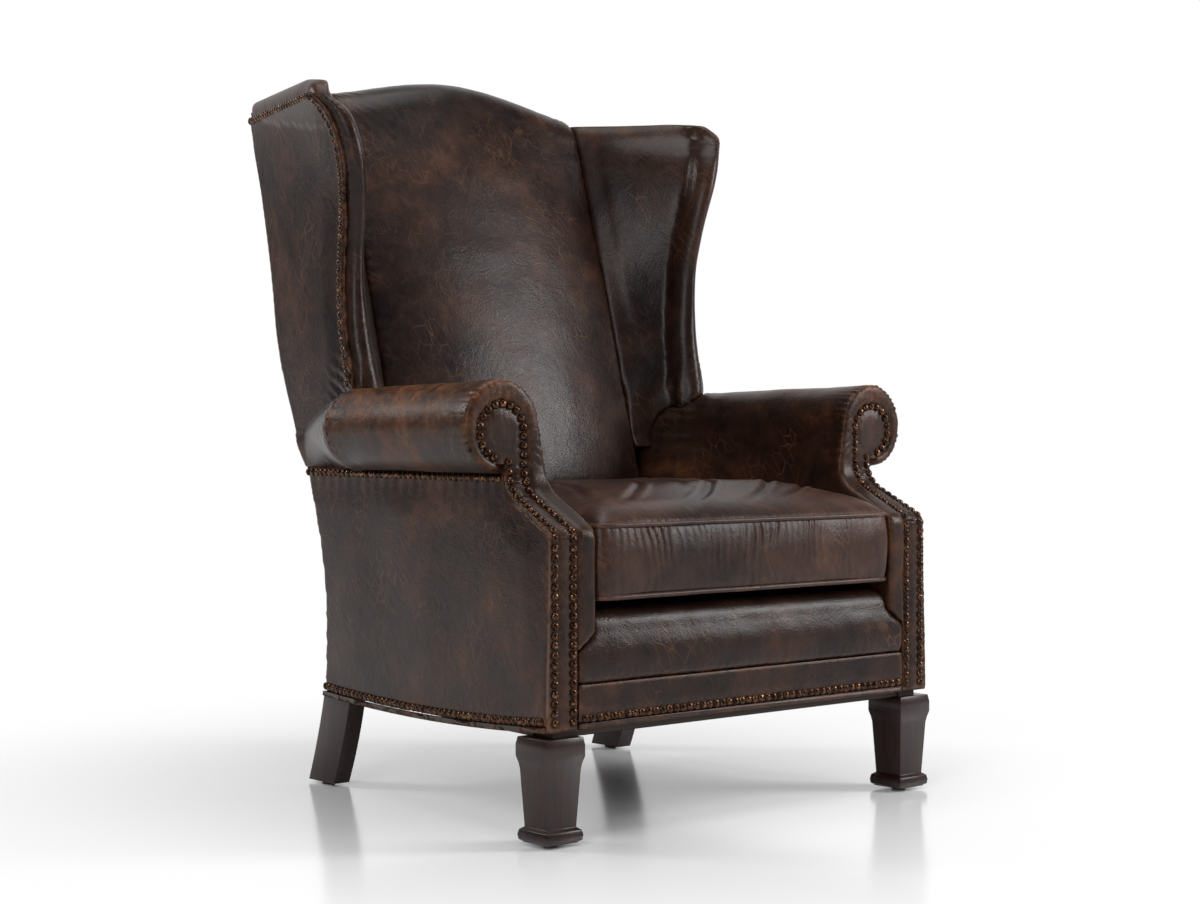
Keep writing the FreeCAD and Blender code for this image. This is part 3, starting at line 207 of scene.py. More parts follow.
def nail_seats(node):
    """Seat point and outward direction of every nail in a CAD node."""
    form = bmesh.new()
    form.from_mesh(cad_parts[node].data)
    bmesh.ops.remove_doubles(form, verts=form.verts, dist=0.00001)
    seen = set()
    seats = []
    for start in form.verts:
        if start in seen:
            continue
        seen.add(start)
        island = [start]
        for vert in island:
            for edge in vert.link_edges:
                other = edge.other_vert(vert)
                if other not in seen:
                    seen.add(other)
                    island.append(other)
        middle = sum((vert.co for vert in island), Vector()) / len(island)
        tip = max(island, key=lambda vert: (vert.co - middle).length).co
        ring = [vert.co for vert in island if (vert.co - tip).length < NAIL_TIP_SPAN]
        end = sum(ring, Vector()) / len(ring)
        axis = (middle - end).normalized()
        seats.append((end + axis * NAIL_SHANK, axis))
    form.free()
    return seats


NAIL_NODES = ["arm_front_nails_left", "arm_front_nails_right", "arm_line_nails_left",
              "arm_line_nails_right", "wing_nails_left", "wing_nails_right",
              "base_nails", "back_nails"]
seats_of = {node: nail_seats(node) for node in NAIL_NODES}
all_seats = [seat for node in NAIL_NODES for seat in seats_of[node]]
nail_tree = KDTree(len(all_seats))
for number, one_seat in enumerate(all_seats):
    nail_tree.insert(one_seat[0], number)
nail_tree.balance()


def from_nails(spots):
    """Distance from each point to the nearest nail."""
    return np.array([nail_tree.find(spot)[2] for spot in spots])


def model_nail():
    """One hammered dome head, base at the origin, standing along Z."""
    clear_selection()
    bpy.ops.mesh.primitive_uv_sphere_add(segments=12, ring_count=8, radius=NAIL_RADIUS)
    dome = bpy.context.object
    dome.name = "nail_pattern"
    bpy.ops.object.mode_set(mode="EDIT")
    bpy.ops.mesh.select_all(action="SELECT")
    bpy.ops.mesh.bisect(plane_co=(0, 0, 0.0001), plane_no=(0, 0, 1), clear_inner=True,
                        use_fill=True)
    bpy.ops.mesh.select_all(action="SELECT")
    bpy.ops.transform.resize(value=(1.0, 1.0, NAIL_HEIGHT / NAIL_RADIUS))
    bpy.ops.mesh.normals_make_consistent(inside=False)
    bpy.ops.object.mode_set(mode="OBJECT")
    return dome


def nail_row_piece(pattern, name, node):
    """Every nail of one row as a copy of the pattern, turned a little each."""
    shape = points_of(pattern)
    faces = [list(face.vertices) for face in pattern.data.polygons]
    spots = []
    rings = []
    for seat, axis in seats_of[node]:
        turn = axis.to_track_quat("Z", "Y").to_matrix()
        lean = noise.noise_vector(seat * 90.0) * 0.05
        base = len(spots) * len(shape)
        local = shape.copy()
        local[:, 2] *= 1.0 + 0.07 * noise.noise(seat * 70.0)
        local = local @ np.array(turn).T
        local += np.outer(shape[:, 2], np.array(lean))
        proud = WING_NAIL_LIFT if "wing" in node else 0.0
        spots.append(local + np.array(seat + axis * proud))
        rings += [[corner + base for corner in face] for face in faces]
    mesh = bpy.data.meshes.new(name)
    mesh.from_pydata(np.vstack(spots).tolist(), [], rings)
    mesh.update()
    row = bpy.data.objects.new(name, mesh)
    scene.collection.objects.link(row)
    smooth(row, SOFT_EDGE)
    settle(row, "frame", bronze, [node])


# Materials

def colour(code):
    """Linear colour from an sRGB hex value."""
    parts = [int(code[k:k + 2], 16) / 255.0 for k in (1, 3, 5)]
    linear = [c / 12.92 if c <= 0.04045 else ((c + 0.055) / 1.055) ** 2.4 for c in parts]
    return tuple(linear) + (1.0,)


def put(tree, kind, settings=None, values=None, links=None):
    """Adds a node with its settings, socket values and incoming links."""
    node = tree.nodes.new(kind)
    for name, value in (settings or {}).items():
        setattr(node, name, value)
    for socket, value in (values or {}).items():
        node.inputs[socket].default_value = value
    for socket, source in (links or {}).items():
        tree.links.new(source, node.inputs[socket])
    return node


def ramp(tree, source, stops):
    """Colour ramp from (position, colour or grey) stops."""
    node = put(tree, "ShaderNodeValToRGB", links={"Fac": source})
    band = node.color_ramp
    while len(band.elements) < len(stops):
        band.elements.new(0.5)
    for element, (place, shade) in zip(band.elements, stops):
        element.position = place
        element.color = shade if isinstance(shade, tuple) else (shade, shade, shade, 1.0)
    return node.outputs["Color"]


def new_material(name):
    material = bpy.data.materials.new(name)
    material.use_nodes = True
    tree = material.node_tree
    return material, tree, tree.nodes["Principled BSDF"]


def maths(tree, operation, first, second, clamp=False):
    values = {}
    links = {}
    for socket, item in ((0, first), (1, second)):
        if isinstance(item, (int, float)):
            values[socket] = item
        else:
            links[socket] = item
    return put(tree, "ShaderNodeMath", {"operation": operation, "use_clamp": clamp},
               values, links).outputs[0]


def mixed(tree, share, low, high):
    """Colour mix; low and high are colours or sockets."""
    values = {}
    links = {0: share}
    for socket, item in ((6, low), (7, high)):
        if isinstance(item, tuple):
            values[socket] = item
        else:
            links[socket] = item
    return put(tree, "ShaderNodeMix", {"data_type": "RGBA"}, values, links).outputs[2]


def scratch_layer(tree, place, turn, length, width, seed):
    """Fine straight scratches: thin cell borders of stretched cells, broken up by a cloud."""
    turned = put(tree, "ShaderNodeMapping", {"vector_type": "TEXTURE"},
                 {"Location": (seed, seed * 0.7, seed * 1.3), "Rotation": turn,
                  "Scale": (length, width, width)}, {"Vector": place})
    cells = put(tree, "ShaderNodeTexVoronoi", {"feature": "DISTANCE_TO_EDGE"},
                {"Scale": 1.0, "Randomness": 1.0}, {"Vector": turned.outputs[0]})
    line = ramp(tree, cells.outputs["Distance"], [(0.0, 1.0), (0.05, 0.0)])
    breaks = put(tree, "ShaderNodeTexNoise", {"noise_dimensions": "4D"},
                 {"Scale": 11.0, "Detail": 3.0, "W": seed}, {"Vector": place})
    shown = ramp(tree, breaks.outputs["Fac"], [(0.52, 0.0), (0.66, 1.0)])
    # The cells look round from their own end, so a layer fades where the surface faces along it
    along = Euler(turn).to_matrix() @ Vector((1.0, 0.0, 0.0))
    facing = put(tree, "ShaderNodeVectorMath", {"operation": "DOT_PRODUCT"}, {1: tuple(along)},
                 {0: put(tree, "ShaderNodeTexCoord").outputs["Normal"]}).outputs["Value"]
    side_on = ramp(tree, maths(tree, "ABSOLUTE", facing, 0.0), [(0.45, 1.0), (0.75, 0.0)])
    return maths(tree, "MULTIPLY", maths(tree, "MULTIPLY", line, shown), side_on)


def leather_material(name, dark, middle, warm, rub_colour, rub_amount, gloss):
    """Pull-up cowhide, aniline dyed and waxed: near-black brown that lightens to tan where it is
    stretched, scratched or rubbed, with a soft waxy sheen over a fine pebble grain."""
    material, tree, shader = new_material(name)
    place = put(tree, "ShaderNodeTexCoord").outputs["Object"]
    broad = put(tree, "ShaderNodeTexNoise", None,
                {"Scale": 5.5, "Detail": 5.0, "Roughness": 0.6, "Distortion": 0.4},
                {"Vector": place}).outputs["Fac"]
    medium = put(tree, "ShaderNodeTexNoise", None,
                 {"Scale": 24.0, "Detail": 6.0, "Roughness": 0.68, "Distortion": 0.6},
                 {"Vector": place}).outputs["Fac"]
    small = put(tree, "ShaderNodeTexNoise", None,
                {"Scale": 110.0, "Detail": 5.0, "Roughness": 0.7}, {"Vector": place}).outputs["Fac"]
    tone = maths(tree, "ADD", maths(tree, "MULTIPLY", broad, 0.62),
                 maths(tree, "MULTIPLY", medium, 0.38))
    base = ramp(tree, tone, [(0.38, colour(dark)), (0.52, colour(middle)), (0.66, colour(warm))])

    # Rubbed places: crowns and edges from the piece's own wear attribute, which on the seat cushion
    # also holds a painted highlight on its pleat crests, and loose patches
    wear = put(tree, "ShaderNodeAttribute", {"attribute_name": "wear"}).outputs["Fac"]
    speckle = ramp(tree, small, [(0.4, 0.0), (0.62, 1.0)])
    patch = ramp(tree, broad, [(0.54, 0.0), (0.74, 0.42)])
    patch = maths(tree, "MULTIPLY", patch, ramp(tree, medium, [(0.42, 0.1), (0.66, 1.0)]))
    worn = maths(tree, "MULTIPLY", wear, ramp(tree, medium, [(0.36, 0.15), (0.6, 1.0)]))
    rubbed = maths(tree, "ADD", worn, patch, True)
    broken = maths(tree, "ADD", maths(tree, "MULTIPLY", speckle, 0.7), 0.3)
    rubbed = maths(tree, "MULTIPLY", rubbed, broken)
    rubbed = maths(tree, "MULTIPLY", rubbed, rub_amount, True)
    shade = mixed(tree, rubbed, base, colour(rub_colour))

    # Scratches in three directions, up to about 200 mm long and 1 mm wide, lighter than the hide
    lines = [scratch_layer(tree, place, (0.0, 0.9, 0.5), 0.22, 0.016, 1.7),
             scratch_layer(tree, place, (0.4, -0.8, 1.9), 0.18, 0.014, 4.1),
             scratch_layer(tree, place, (1.1, 0.5, -0.9), 0.15, 0.012, 7.9)]
    scratched = maths(tree, "MAXIMUM", maths(tree, "MAXIMUM", lines[0], lines[1]), lines[2])
    faint = maths(tree, "MULTIPLY", scratched, 0.4)
    shade = mixed(tree, faint, shade, colour("#71492f"))

    # Painted shade: creases and hollows, from the crease attribute, are darkened towards near-black
    crease = put(tree, "ShaderNodeAttribute", {"attribute_name": "crease"}).outputs["Fac"]
    shade = mixed(tree, maths(tree, "MULTIPLY", crease, 0.75), shade, colour("#0d0806"))
    tree.links.new(shade, shader.inputs["Base Color"])

    # Waxed sheen, duller where rubbed
    rough = maths(tree, "ADD", maths(tree, "MULTIPLY", medium, 0.16), gloss)
    rough = maths(tree, "ADD", rough, maths(tree, "MULTIPLY", rubbed, 0.12), True)
    tree.links.new(rough, shader.inputs["Roughness"])
    shader.inputs["IOR"].default_value = 1.46
    shader.inputs["Specular IOR Level"].default_value = 0.28

    # Pebble grain about 2.4 mm, coarser than the real 1 mm so that it shows, and soft wrinkles
    grain = put(tree, "ShaderNodeTexVoronoi", {"feature": "SMOOTH_F1"},
                {"Scale": 420.0, "Smoothness": 0.6}, {"Vector": place}).outputs["Distance"]
    wrinkle = put(tree, "ShaderNodeTexNoise", None,
                  {"Scale": 46.0, "Detail": 4.0, "Roughness": 0.55, "Distortion": 1.2},
                  {"Vector": place}).outputs["Fac"]
    height = maths(tree, "ADD", maths(tree, "MULTIPLY", grain, 0.00022),
                   maths(tree, "MULTIPLY", wrinkle, 0.0006))
    height = maths(tree, "SUBTRACT", height, maths(tree, "MULTIPLY", scratched, 0.00012))
    bump = put(tree, "ShaderNodeBump", None, {"Strength": 0.8, "Distance": 1.0}, {"Height": height})
    tree.links.new(bump.outputs[0], shader.inputs["Normal"])
    return material


def bronze_material():
    """Antiqued brass, stamped and chemically darkened: brown metal with bright worn crowns."""
    material, tree, shader = new_material("antiqued_brass")
    place = put(tree, "ShaderNodeTexCoord").outputs["Object"]
    patina = put(tree, "ShaderNodeTexNoise", None,
                 {"Scale": 130.0, "Detail": 4.0, "Roughness": 0.65},
                 {"Vector": place}).outputs["Fac"]
    shade = ramp(tree, patina, [(0.36, colour("#1a110c")), (0.52, colour("#452c1e")),
                                (0.7, colour("#8a6448"))])
    tree.links.new(shade, shader.inputs["Base Color"])
    shader.inputs["Metallic"].default_value = 0.9
    rough = ramp(tree, patina, [(0.35, 0.38), (0.65, 0.2)])
    tree.links.new(rough, shader.inputs["Roughness"])
    dents = put(tree, "ShaderNodeTexNoise", None, {"Scale": 420.0, "Detail": 2.0},
                {"Vector": place})
    bump = put(tree, "ShaderNodeBump", None, {"Strength": 0.5, "Distance": 0.0004},
               {"Height": dents.outputs["Fac"]})
    tree.links.new(bump.outputs[0], shader.inputs["Normal"])
    return material


def wood_material(name, dark, light, rough, coat, grain_width, along):
    """Straight-grained timber: thin darker pores and streaks run along the piece."""
    material, tree, shader = new_material(name)
    place = put(tree, "ShaderNodeTexCoord").outputs["Object"]
    scale = [1.0 / grain_width] * 3
    scale[along] = 0.06 / grain_width
    mapped = put(tree, "ShaderNodeMapping", None, {"Scale": tuple(scale)},
                 {"Vector": place}).outputs[0]
    streak = put(tree, "ShaderNodeTexNoise", None,
                 {"Scale": 1.0, "Detail": 6.0, "Roughness": 0.62, "Distortion": 0.3},
                 {"Vector": mapped}).outputs["Fac"]
    shade = ramp(tree, streak, [(0.36, colour(dark)), (0.62, colour(light))])
    tree.links.new(shade, shader.inputs["Base Color"])
    shader.inputs["Roughness"].default_value = rough
    shader.inputs["Coat Weight"].default_value = coat
    shader.inputs["Coat Roughness"].default_value = 0.18
    bump = put(tree, "ShaderNodeBump", None, {"Strength": 0.35, "Distance": 0.0005},
               {"Height": streak})
    tree.links.new(bump.outputs[0], shader.inputs["Normal"])
    return material


def weave_material(name, dark, light, pitch, rough):
    """Plain woven cloth: two crossing sets of threads at the given spacing."""
    material, tree, shader = new_material(name)
    place = put(tree, "ShaderNodeTexCoord").outputs["Object"]
    waves = []
    for direction in ("X", "Y"):
        waves.append(put(tree, "ShaderNodeTexWave", {"bands_direction": direction},
                         {"Scale": 0.31 / pitch, "Distortion": 0.6, "Detail": 1.0},
                         {"Vector": place}).outputs["Fac"])
    threads = maths(tree, "MULTIPLY", waves[0], waves[1])
    shade = mixed(tree, threads, colour(dark), colour(light))
    tree.links.new(shade, shader.inputs["Base Color"])
    shader.inputs["Roughness"].default_value = rough
    bump = put(tree, "ShaderNodeBump", None, {"Strength": 0.6, "Distance": 0.0006},
               {"Height": threads})
    tree.links.new(bump.outputs[0], shader.inputs["Normal"])
    return material


def plain_grained(name, dark, light, size, rough, metal):
    """A quiet surface whose tone and roughness vary at the given feature size."""
    material, tree, shader = new_material(name)
    place = put(tree, "ShaderNodeTexCoord").outputs["Object"]
    tone = put(tree, "ShaderNodeTexNoise", None, {"Scale": 1.0 / size, "Detail": 5.0},
               {"Vector": place}).outputs["Fac"]
    shade = ramp(tree, tone, [(0.35, colour(dark)), (0.65, colour(light))])
    tree.links.new(shade, shader.inputs["Base Color"])
    dullness = ramp(tree, tone, [(0.3, rough + 0.08), (0.7, rough - 0.08)])
    tree.links.new(dullness, shader.inputs["Roughness"])
    shader.inputs["Metallic"].default_value = metal
    bump = put(tree, "ShaderNodeBump", None, {"Strength": 0.4, "Distance": 0.0004},
               {"Height": tone})
    tree.links.new(bump.outputs[0], shader.inputs["Normal"])
    return material


hide = leather_material("pull_up_leather", "#140b09", "#291913", "#3d251b", "#744a33", 0.8, 0.25)
roll_hide = leather_material("rubbed_roll_leather", "#160c09", "#2c180f", "#4a2917", "#80502f",
                             1.0, 0.27)
seat_hide = leather_material("seat_leather", "#1f1310", "#38241d", "#4b3127", "#805a48", 0.65, 0.28)
bronze = bronze_material()
leg_wood = wood_material("stained_mahogany", "#100605", "#2f120b", 0.34, 0.15, 0.004, 2)
timber = wood_material("stained_beech", "#22130c", "#3b2416", 0.6, 0.0, 0.006, 0)
deck_cloth = weave_material("deck_twill", "#1c1612", "#32281f", 0.0024, 0.85)
dust_cloth = weave_material("black_cambric", "#0b0b0b", "#1c1b1a", 0.0016, 0.9)
webbing_jute = weave_material("jute_webbing", "#6f5836", "#b3976a", 0.0030, 0.9)
steel = plain_grained("spring_steel", "#5c5a58", "#8b8986", 0.01, 0.4, 1.0)
glide_nylon = plain_grained("moulded_nylon", "#232221", "#33312f", 0.006, 0.5, 0.0)


# Soft pieces

# Easing a remeshed skin draws it in by about this much, which is given back
EASED = 0.0007
# Added to the side panels on their hidden inner face, so that voxels can hold them
PANEL_BACKING = 0.006
# Spacing of the even meshes, and how far the filling may press each cover out
PANEL_VOXEL = 0.003
BAND_VOXEL = 0.003
BORDER_VOXEL = 0.004
WING_VOXEL = 0.0045
ARM_VOXEL = 0.0045
CUSHION_VOXEL = 0.006
BACK_VOXEL = 0.0065
CUSHION_FILL = 0.007
BACK_FILL = 0.008
WING_FILL = 0.0015
ARM_FILL = 0.005
# Half the widest slit between a wing's cover and padding that is filled
WING_SLIT = 0.0035


def held_near(piece, hold):
    """Vertex group of the points that the filling can't move."""
    group = piece.vertex_groups.new(name="held")
    group.add([int(k) for k in np.nonzero(hold)[0]], 1.0, "REPLACE")
    return group.name


def fill_out(piece, cap, hold):
    """Presses a padded skin outwards as its filling does, no point further than cap."""
    rest = points_of(piece)
    pick(piece)
    cloth = piece.modifiers.new("filling", "CLOTH")
    settings = cloth.settings
    settings.quality = 4
    settings.mass = 0.35
    settings.tension_stiffness = 15.0
    settings.compression_stiffness = 15.0
    settings.shear_stiffness = 6.0
    settings.bending_stiffness = 1.5
    settings.use_pressure = True
    settings.uniform_pressure_force = 4.0
    settings.vertex_group_mass = held_near(piece, hold)
    settings.effector_weights.gravity = 0.0
    cloth.collision_settings.use_collision = False
    for step in range(1, 21):
        scene.frame_set(step)
    bpy.ops.object.modifier_apply(modifier=cloth.name)
    scene.frame_set(1)
    filled = points_of(piece)
    move_points(piece, rest)
    normals = normals_of(piece)
    rise = np.clip(np.einsum("ij,ij->i", filled - rest, normals), 0.0, cap)
    free = spread(1.0 - hold.astype(float), edges_of(piece), 8)
    rise = spread(rise * free, edges_of(piece), 12)
    move_points(piece, rest + normals * rise[:, None])
    piece.vertex_groups.clear()


def padded_skin(name, nodes, voxel, rounds=4, closing=0.0):
    """The closed outside of some CAD nodes together, evenly meshed and eased. Slits between the
    nodes up to twice closing wide are filled: it grows by closing, and is drawn in again."""
    piece = copied(name, nodes)
    move_points(piece, points_of(piece) + normals_of(piece) * closing)
    finish_modifier(piece, "REMESH", mode="VOXEL", voxel_size=voxel, adaptivity=0.0)
    move_points(piece, spread(points_of(piece), edges_of(piece), rounds))
    move_points(piece, points_of(piece) + normals_of(piece) * (EASED - closing))
    return piece


def cut_along(piece, axis, step):
    """Cuts a piece by evenly spaced planes, so that it can bend."""
    form = bmesh.new()
    form.from_mesh(piece.data)
    low = min(vert.co[axis] for vert in form.verts)
    high = max(vert.co[axis] for vert in form.verts)
    normal = Vector((0, 0, 0))
    normal[axis] = 1.0
    count = int((high - low) / step)
    for k in range(1, count + 1):
        spot = Vector((0, 0, 0))
        spot[axis] = low + (high - low) * k / (count + 1)
        everything = form.verts[:] + form.edges[:] + form.faces[:]
        bmesh.ops.bisect_plane(form, geom=everything, dist=0.00002, plane_co=spot, plane_no=normal)
    form.to_mesh(piece.data)
    form.free()


def panel_skin(name, nodes, axes, step):
    """A thin leather panel, cut into a grid so that it can take soft waves."""
    piece = copied(name, nodes)
    for axis in axes:
        cut_along(piece, axis, step)
    return piece


def thick_panel(name, node, side):
    """A side panel, made thicker towards the inside of the chair, where it isn't seen, so that
    it can be meshed evenly and take soft waves."""
    piece = copied(name, [node])
    spots = points_of(piece)
    normals = normals_of(piece)
    inner = normals[:, 0] * side < -0.3
    rear = (normals[:, 1] < -0.5) & (spots[:, 1] > 0.3)
    roof = (normals[:, 2] < -0.3) & (spots[:, 2] > 0.6)
    spots[inner, 0] -= PANEL_BACKING * side
    spots[rear, 1] -= PANEL_BACKING
    spots[roof, 2] -= PANEL_BACKING
    move_points(piece, spots)
    finish_modifier(piece, "REMESH", mode="VOXEL", voxel_size=PANEL_VOXEL, adaptivity=0.0)
    move_points(piece, spread(points_of(piece), edges_of(piece), 2))
    return piece


def crown_wear_and_hollow_shade(piece, flat, sharp, rounds):
    """Share of wear from how strongly the surface bulges, and share of painted shade from how
    deeply it hollows, from flat to sharp radius in metres.
    """
    spots = points_of(piece)
    edges = edges_of(piece)
    lengths = np.linalg.norm(spots[edges[:, 0]] - spots[edges[:, 1]], axis=1)
    mean_length = lengths.mean()
    even = spread(spots, edges, 3)
    lift = np.einsum("ij,ij->i", spots - even, normals_of(piece)) / (mean_length ** 2 * 0.5)
    lift = spread(lift, edges, rounds)
    return soft_step(lift, 1.0 / flat, 1.0 / sharp), soft_step(-lift, 1.0 / flat, 1.0 / sharp)


def dress(piece, body, material, replaced, extra_wear_and_highlight=None, extra_painted_shade=None):
    """Final touches of a leather piece: wear and any painted highlight, painted shade in hollows,
    smooth shading, body and material.
    """
    wear, crease = crown_wear_and_hollow_shade(piece, 0.06, 0.008, 3)
    near = 1.0 - soft_step(from_nails(points_of(piece)), 0.007, 0.02)
    wear = np.clip(wear * 0.8 + near * 0.16, 0.0, 1.0)
    if extra_wear_and_highlight is not None:
        wear = np.clip(wear + extra_wear_and_highlight, 0.0, 1.0)
    if extra_painted_shade is not None:
        crease = np.clip(crease + extra_painted_shade, 0.0, 1.0)
    mark(piece, "wear", wear)
    mark(piece, "crease", crease)
    smooth(piece, SOFT_EDGE)
    settle(piece, body, material, replaced)


def push(piece, amounts):
    """Moves points along their own outward direction."""
    move_points(piece, points_of(piece) + normals_of(piece) * amounts[:, None])


# Seat cushion

CUSHION_TOP_WELT = 0.432
CUSHION_LOW_WELT = 0.333
CUSHION_WALL_MIDDLE = 0.382
CUSHION_WALL_CROWN = 0.0035
FRONT_HALF = 0.293
REAR_HALF = 0.248
CUSHION_DEPTH = 0.482


def crease_line(spots, start, bend, end, width, depth):
    """Depth of one curved crease drawn in plan from start over bend to end."""
    best = np.full(len(spots), 9.0)
    share = np.zeros(len(spots))
    for k in range(41):
        t = k / 40.0
        x = (1 - t) ** 2 * start[0] + 2 * t * (1 - t) * bend[0] + t * t * end[0]
        y = (1 - t) ** 2 * start[1] + 2 * t * (1 - t) * bend[1] + t * t * end[1]
        gap = np.hypot(spots[:, 0] - x, spots[:, 1] - y)
        closer = gap < best
        best[closer] = gap[closer]
        share[closer] = t
    fade = np.sin(np.pi * np.clip(share, 0.02, 0.98)) ** 0.6
    valley = np.exp(-(best / width) ** 2)
    banks = np.exp(-((best - 2.0 * width) / width) ** 2)
    return depth * fade * (valley - 0.45 * banks)


TOP_CREASES = [
    ((-0.20, -0.36), (-0.06, -0.27), (0.03, -0.10), 0.006, 0.0018),
    ((-0.10, -0.39), (0.06, -0.30), (0.16, -0.12), 0.007, 0.0016),
    ((0.02, -0.38), (0.17, -0.31), (0.24, -0.18), 0.006, 0.0018),
    ((-0.26, -0.22), (-0.12, -0.14), (-0.08, 0.02), 0.007, 0.0014),
    ((0.10, -0.37), (0.22, -0.33), (0.27, -0.24), 0.005, 0.0016),
    ((-0.04, -0.30), (0.08, -0.20), (0.12, -0.02), 0.008, 0.0012),
    ((-0.24, -0.32), (-0.16, -0.24), (-0.14, -0.12), 0.006, 0.0014),
]


def make_cushion():
    piece = padded_skin("seat_cushion", ["cushion_cover", "cushion_core"], CUSHION_VOXEL)
    spots = points_of(piece)
    z = spots[:, 2]
    seam = (np.abs(z - CUSHION_TOP_WELT) < 0.006) | (z < CUSHION_LOW_WELT + 0.004)
    fill_out(piece, CUSHION_FILL, seam)
    finish_modifier(piece, "SUBSURF", levels=1, render_levels=1)
    spots = points_of(piece)
    normals = normals_of(piece)
    x, y, z = spots[:, 0], spots[:, 1], spots[:, 2]
    wall = soft_step(1.0 - np.abs(normals[:, 2]), 0.35, 0.8)
    top = soft_step(normals[:, 2], 0.3, 0.8)
    around = np.where(np.abs(normals[:, 1]) > np.abs(normals[:, 0]), x, y)
    drift = cloud(spots, 0.05, 3) * 0.010 + cloud(spots, 0.16, 8) * 0.02
    below = CUSHION_TOP_WELT - z
    patches = soft_step(cloud(spots, 0.06, 5), -0.25, 0.5)
    gather = fading(below, 0.016 + 0.04 * patches) * wall
    strength = 0.25 + 0.9 * patches
    pleat = ripple(around + drift, 0.0135) + 0.5 * ripple(around + 1.7 * drift, 0.0078)
    amount = 0.0010 * gather * strength * pleat
    above = fading(z - CUSHION_TOP_WELT, 0.008) * (z > CUSHION_TOP_WELT)
    amount += 0.0005 * above * pleat
    low = fading(z - CUSHION_LOW_WELT, 0.015) * wall
    amount += 0.0005 * low * strength * ripple(around + drift, 0.017)
    amount += 0.0022 * top * cloud(spots, 0.11, 11) + 0.0012 * wall * cloud(spots, 0.06, 12)
    creases = np.zeros(len(spots))
    for line in TOP_CREASES:
        creases += crease_line(spots, *line)
    amount -= 1.9 * creases * top
    middle = 1.0 - ((z - CUSHION_WALL_MIDDLE) / 0.05) ** 2
    amount += CUSHION_WALL_CROWN * wall * np.clip(middle, 0.0, 1.0)
    push(piece, amount)
    # Painted shade: the top's creases and the valleys of the gathered pleats are darkened
    dark = np.clip(creases * top / 0.002, 0.0, 1.0) * 0.35
    dark += gather * np.clip(-pleat, 0.0, 1.0) * 0.25
    # Painted highlight: the crests of the gathered pleats are lightened
    light = gather * np.clip(pleat, 0.0, 1.0) * strength * 0.5
    dress(piece, "seat_cushion", seat_hide, ["cushion_cover", "cushion_core"],
          light, dark)


def outline_spot(turn, grow):
    """Plan outline of the cushion, a box drawn in a little at its sides; turn runs from 0 to 4."""
    side = int(turn) % 4
    share = turn - int(turn)
    front = (FRONT_HALF + grow, -SETBACK - grow)
    rear = (REAR_HALF + grow, CUSHION_DEPTH - SETBACK + grow)
    corners = [(-front[0], front[1]), (front[0], front[1]), (rear[0], rear[1]), (-rear[0], rear[1])]
    first, second = corners[side], corners[(side + 1) % 4]
    pull = 0.003 * math.sin(math.pi * share)
    x = first[0] + (second[0] - first[0]) * share
    y = first[1] + (second[1] - first[1]) * share
    inward = [(0, 1), (-1, 0), (0, -1), (1, 0)][side]
    return x + inward[0] * pull, y + inward[1] * pull


WELT_POINTS = 160
WELT_RADIUS = 0.0036


def make_welts():
    """Piping sewn round both edges: a ring of points drawn round, then given its thickness."""
    made = []
    for name, level in (("welt_top", CUSHION_TOP_WELT), ("welt_bottom", CUSHION_LOW_WELT)):
        clear_selection()
        bpy.ops.mesh.primitive_circle_add(vertices=WELT_POINTS, radius=1.0, location=(0, 0, 0))
        ring = bpy.context.object
        ring.name = name
        spots = np.zeros((WELT_POINTS, 3))
        for k in range(WELT_POINTS):
            turn = 4.0 * k / WELT_POINTS
            x, y = outline_spot(turn, 0.0015)
            spots[k] = (x, y, level)
        spots = spread(spots, edges_of(ring), 3)
        spots[:, 2] += 0.0008 * cloud(spots, 0.09, 21)
        spots[:, 0] += 0.0006 * cloud(spots, 0.05, 22)
        move_points(ring, spots)
        pick(ring)
        bpy.ops.object.convert(target="CURVE")
        ring = bpy.context.object
        ring.data.bevel_depth = WELT_RADIUS
        ring.data.bevel_resolution = 3
        bpy.ops.object.convert(target="MESH")
        made.append(bpy.context.object)
    clear_selection()
    for ring in made:
        ring.select_set(True)
    bpy.context.view_layer.objects.active = made[0]
    bpy.ops.object.join()
    piping = bpy.context.object
    piping.name = "cushion_piping"
    dress(piping, "seat_cushion", seat_hide, ["cushion_welts"],
          np.full(len(piping.data.vertices), 0.25))


# Inside back

def make_back():
    piece = padded_skin("inside_back", ["inside_back_cover", "back_padding"], BACK_VOXEL)
    spots = points_of(piece)
    held = (np.abs(spots[:, 0]) > 0.225) | (spots[:, 2] < 0.40) | (spots[:, 2] > 1.10)
    held |= normals_of(piece)[:, 1] > 0.2
    fill_out(piece, BACK_FILL, held)
    finish_modifier(piece, "SUBSURF", levels=1, render_levels=1)
    spots = points_of(piece)
    face = soft_step(-normals_of(piece)[:, 1], 0.1, 0.6)
    x, z = spots[:, 0], spots[:, 2]
    amount = face * (0.0016 * cloud(spots, 0.16, 31) + 0.0006 * cloud(spots, 0.05, 32))
    corner = np.hypot(np.abs(x) - 0.25, (z - 1.115) * 0.8)
    rays = np.sin(np.arctan2(1.115 - z, 0.262 - np.abs(x)) * 34.0 + 3.0 * cloud(spots, 0.06, 33))
    gather = np.exp(-corner / 0.05)
    amount += 0.0006 * gather * rays
    pulled = np.exp(-(0.25 - np.abs(x)) / 0.018) * soft_step(z, 0.5, 0.6)
    amount += 0.0002 * pulled * ripple(z + 0.004 * cloud(spots, 0.04, 34), 0.019)
    push(piece, amount)
    dress(piece, "frame", hide, ["inside_back_cover", "back_padding"])


# Wings and arms

def make_wing():
    piece = padded_skin("inside_wing_left", ["inside_wing_cover_left", "wing_padding_left"],
                        WING_VOXEL, 6, WING_SLIT)
    spots = points_of(piece)
    normals = normals_of(piece)
    held = (from_nails(spots) < 0.018) | (normals[:, 0] > 0.5) | (normals[:, 1] > 0.6)
    held |= (spots[:, 0] < 0.268) | (spots[:, 2] < 0.66)
    fill_out(piece, WING_FILL, held)
    return piece


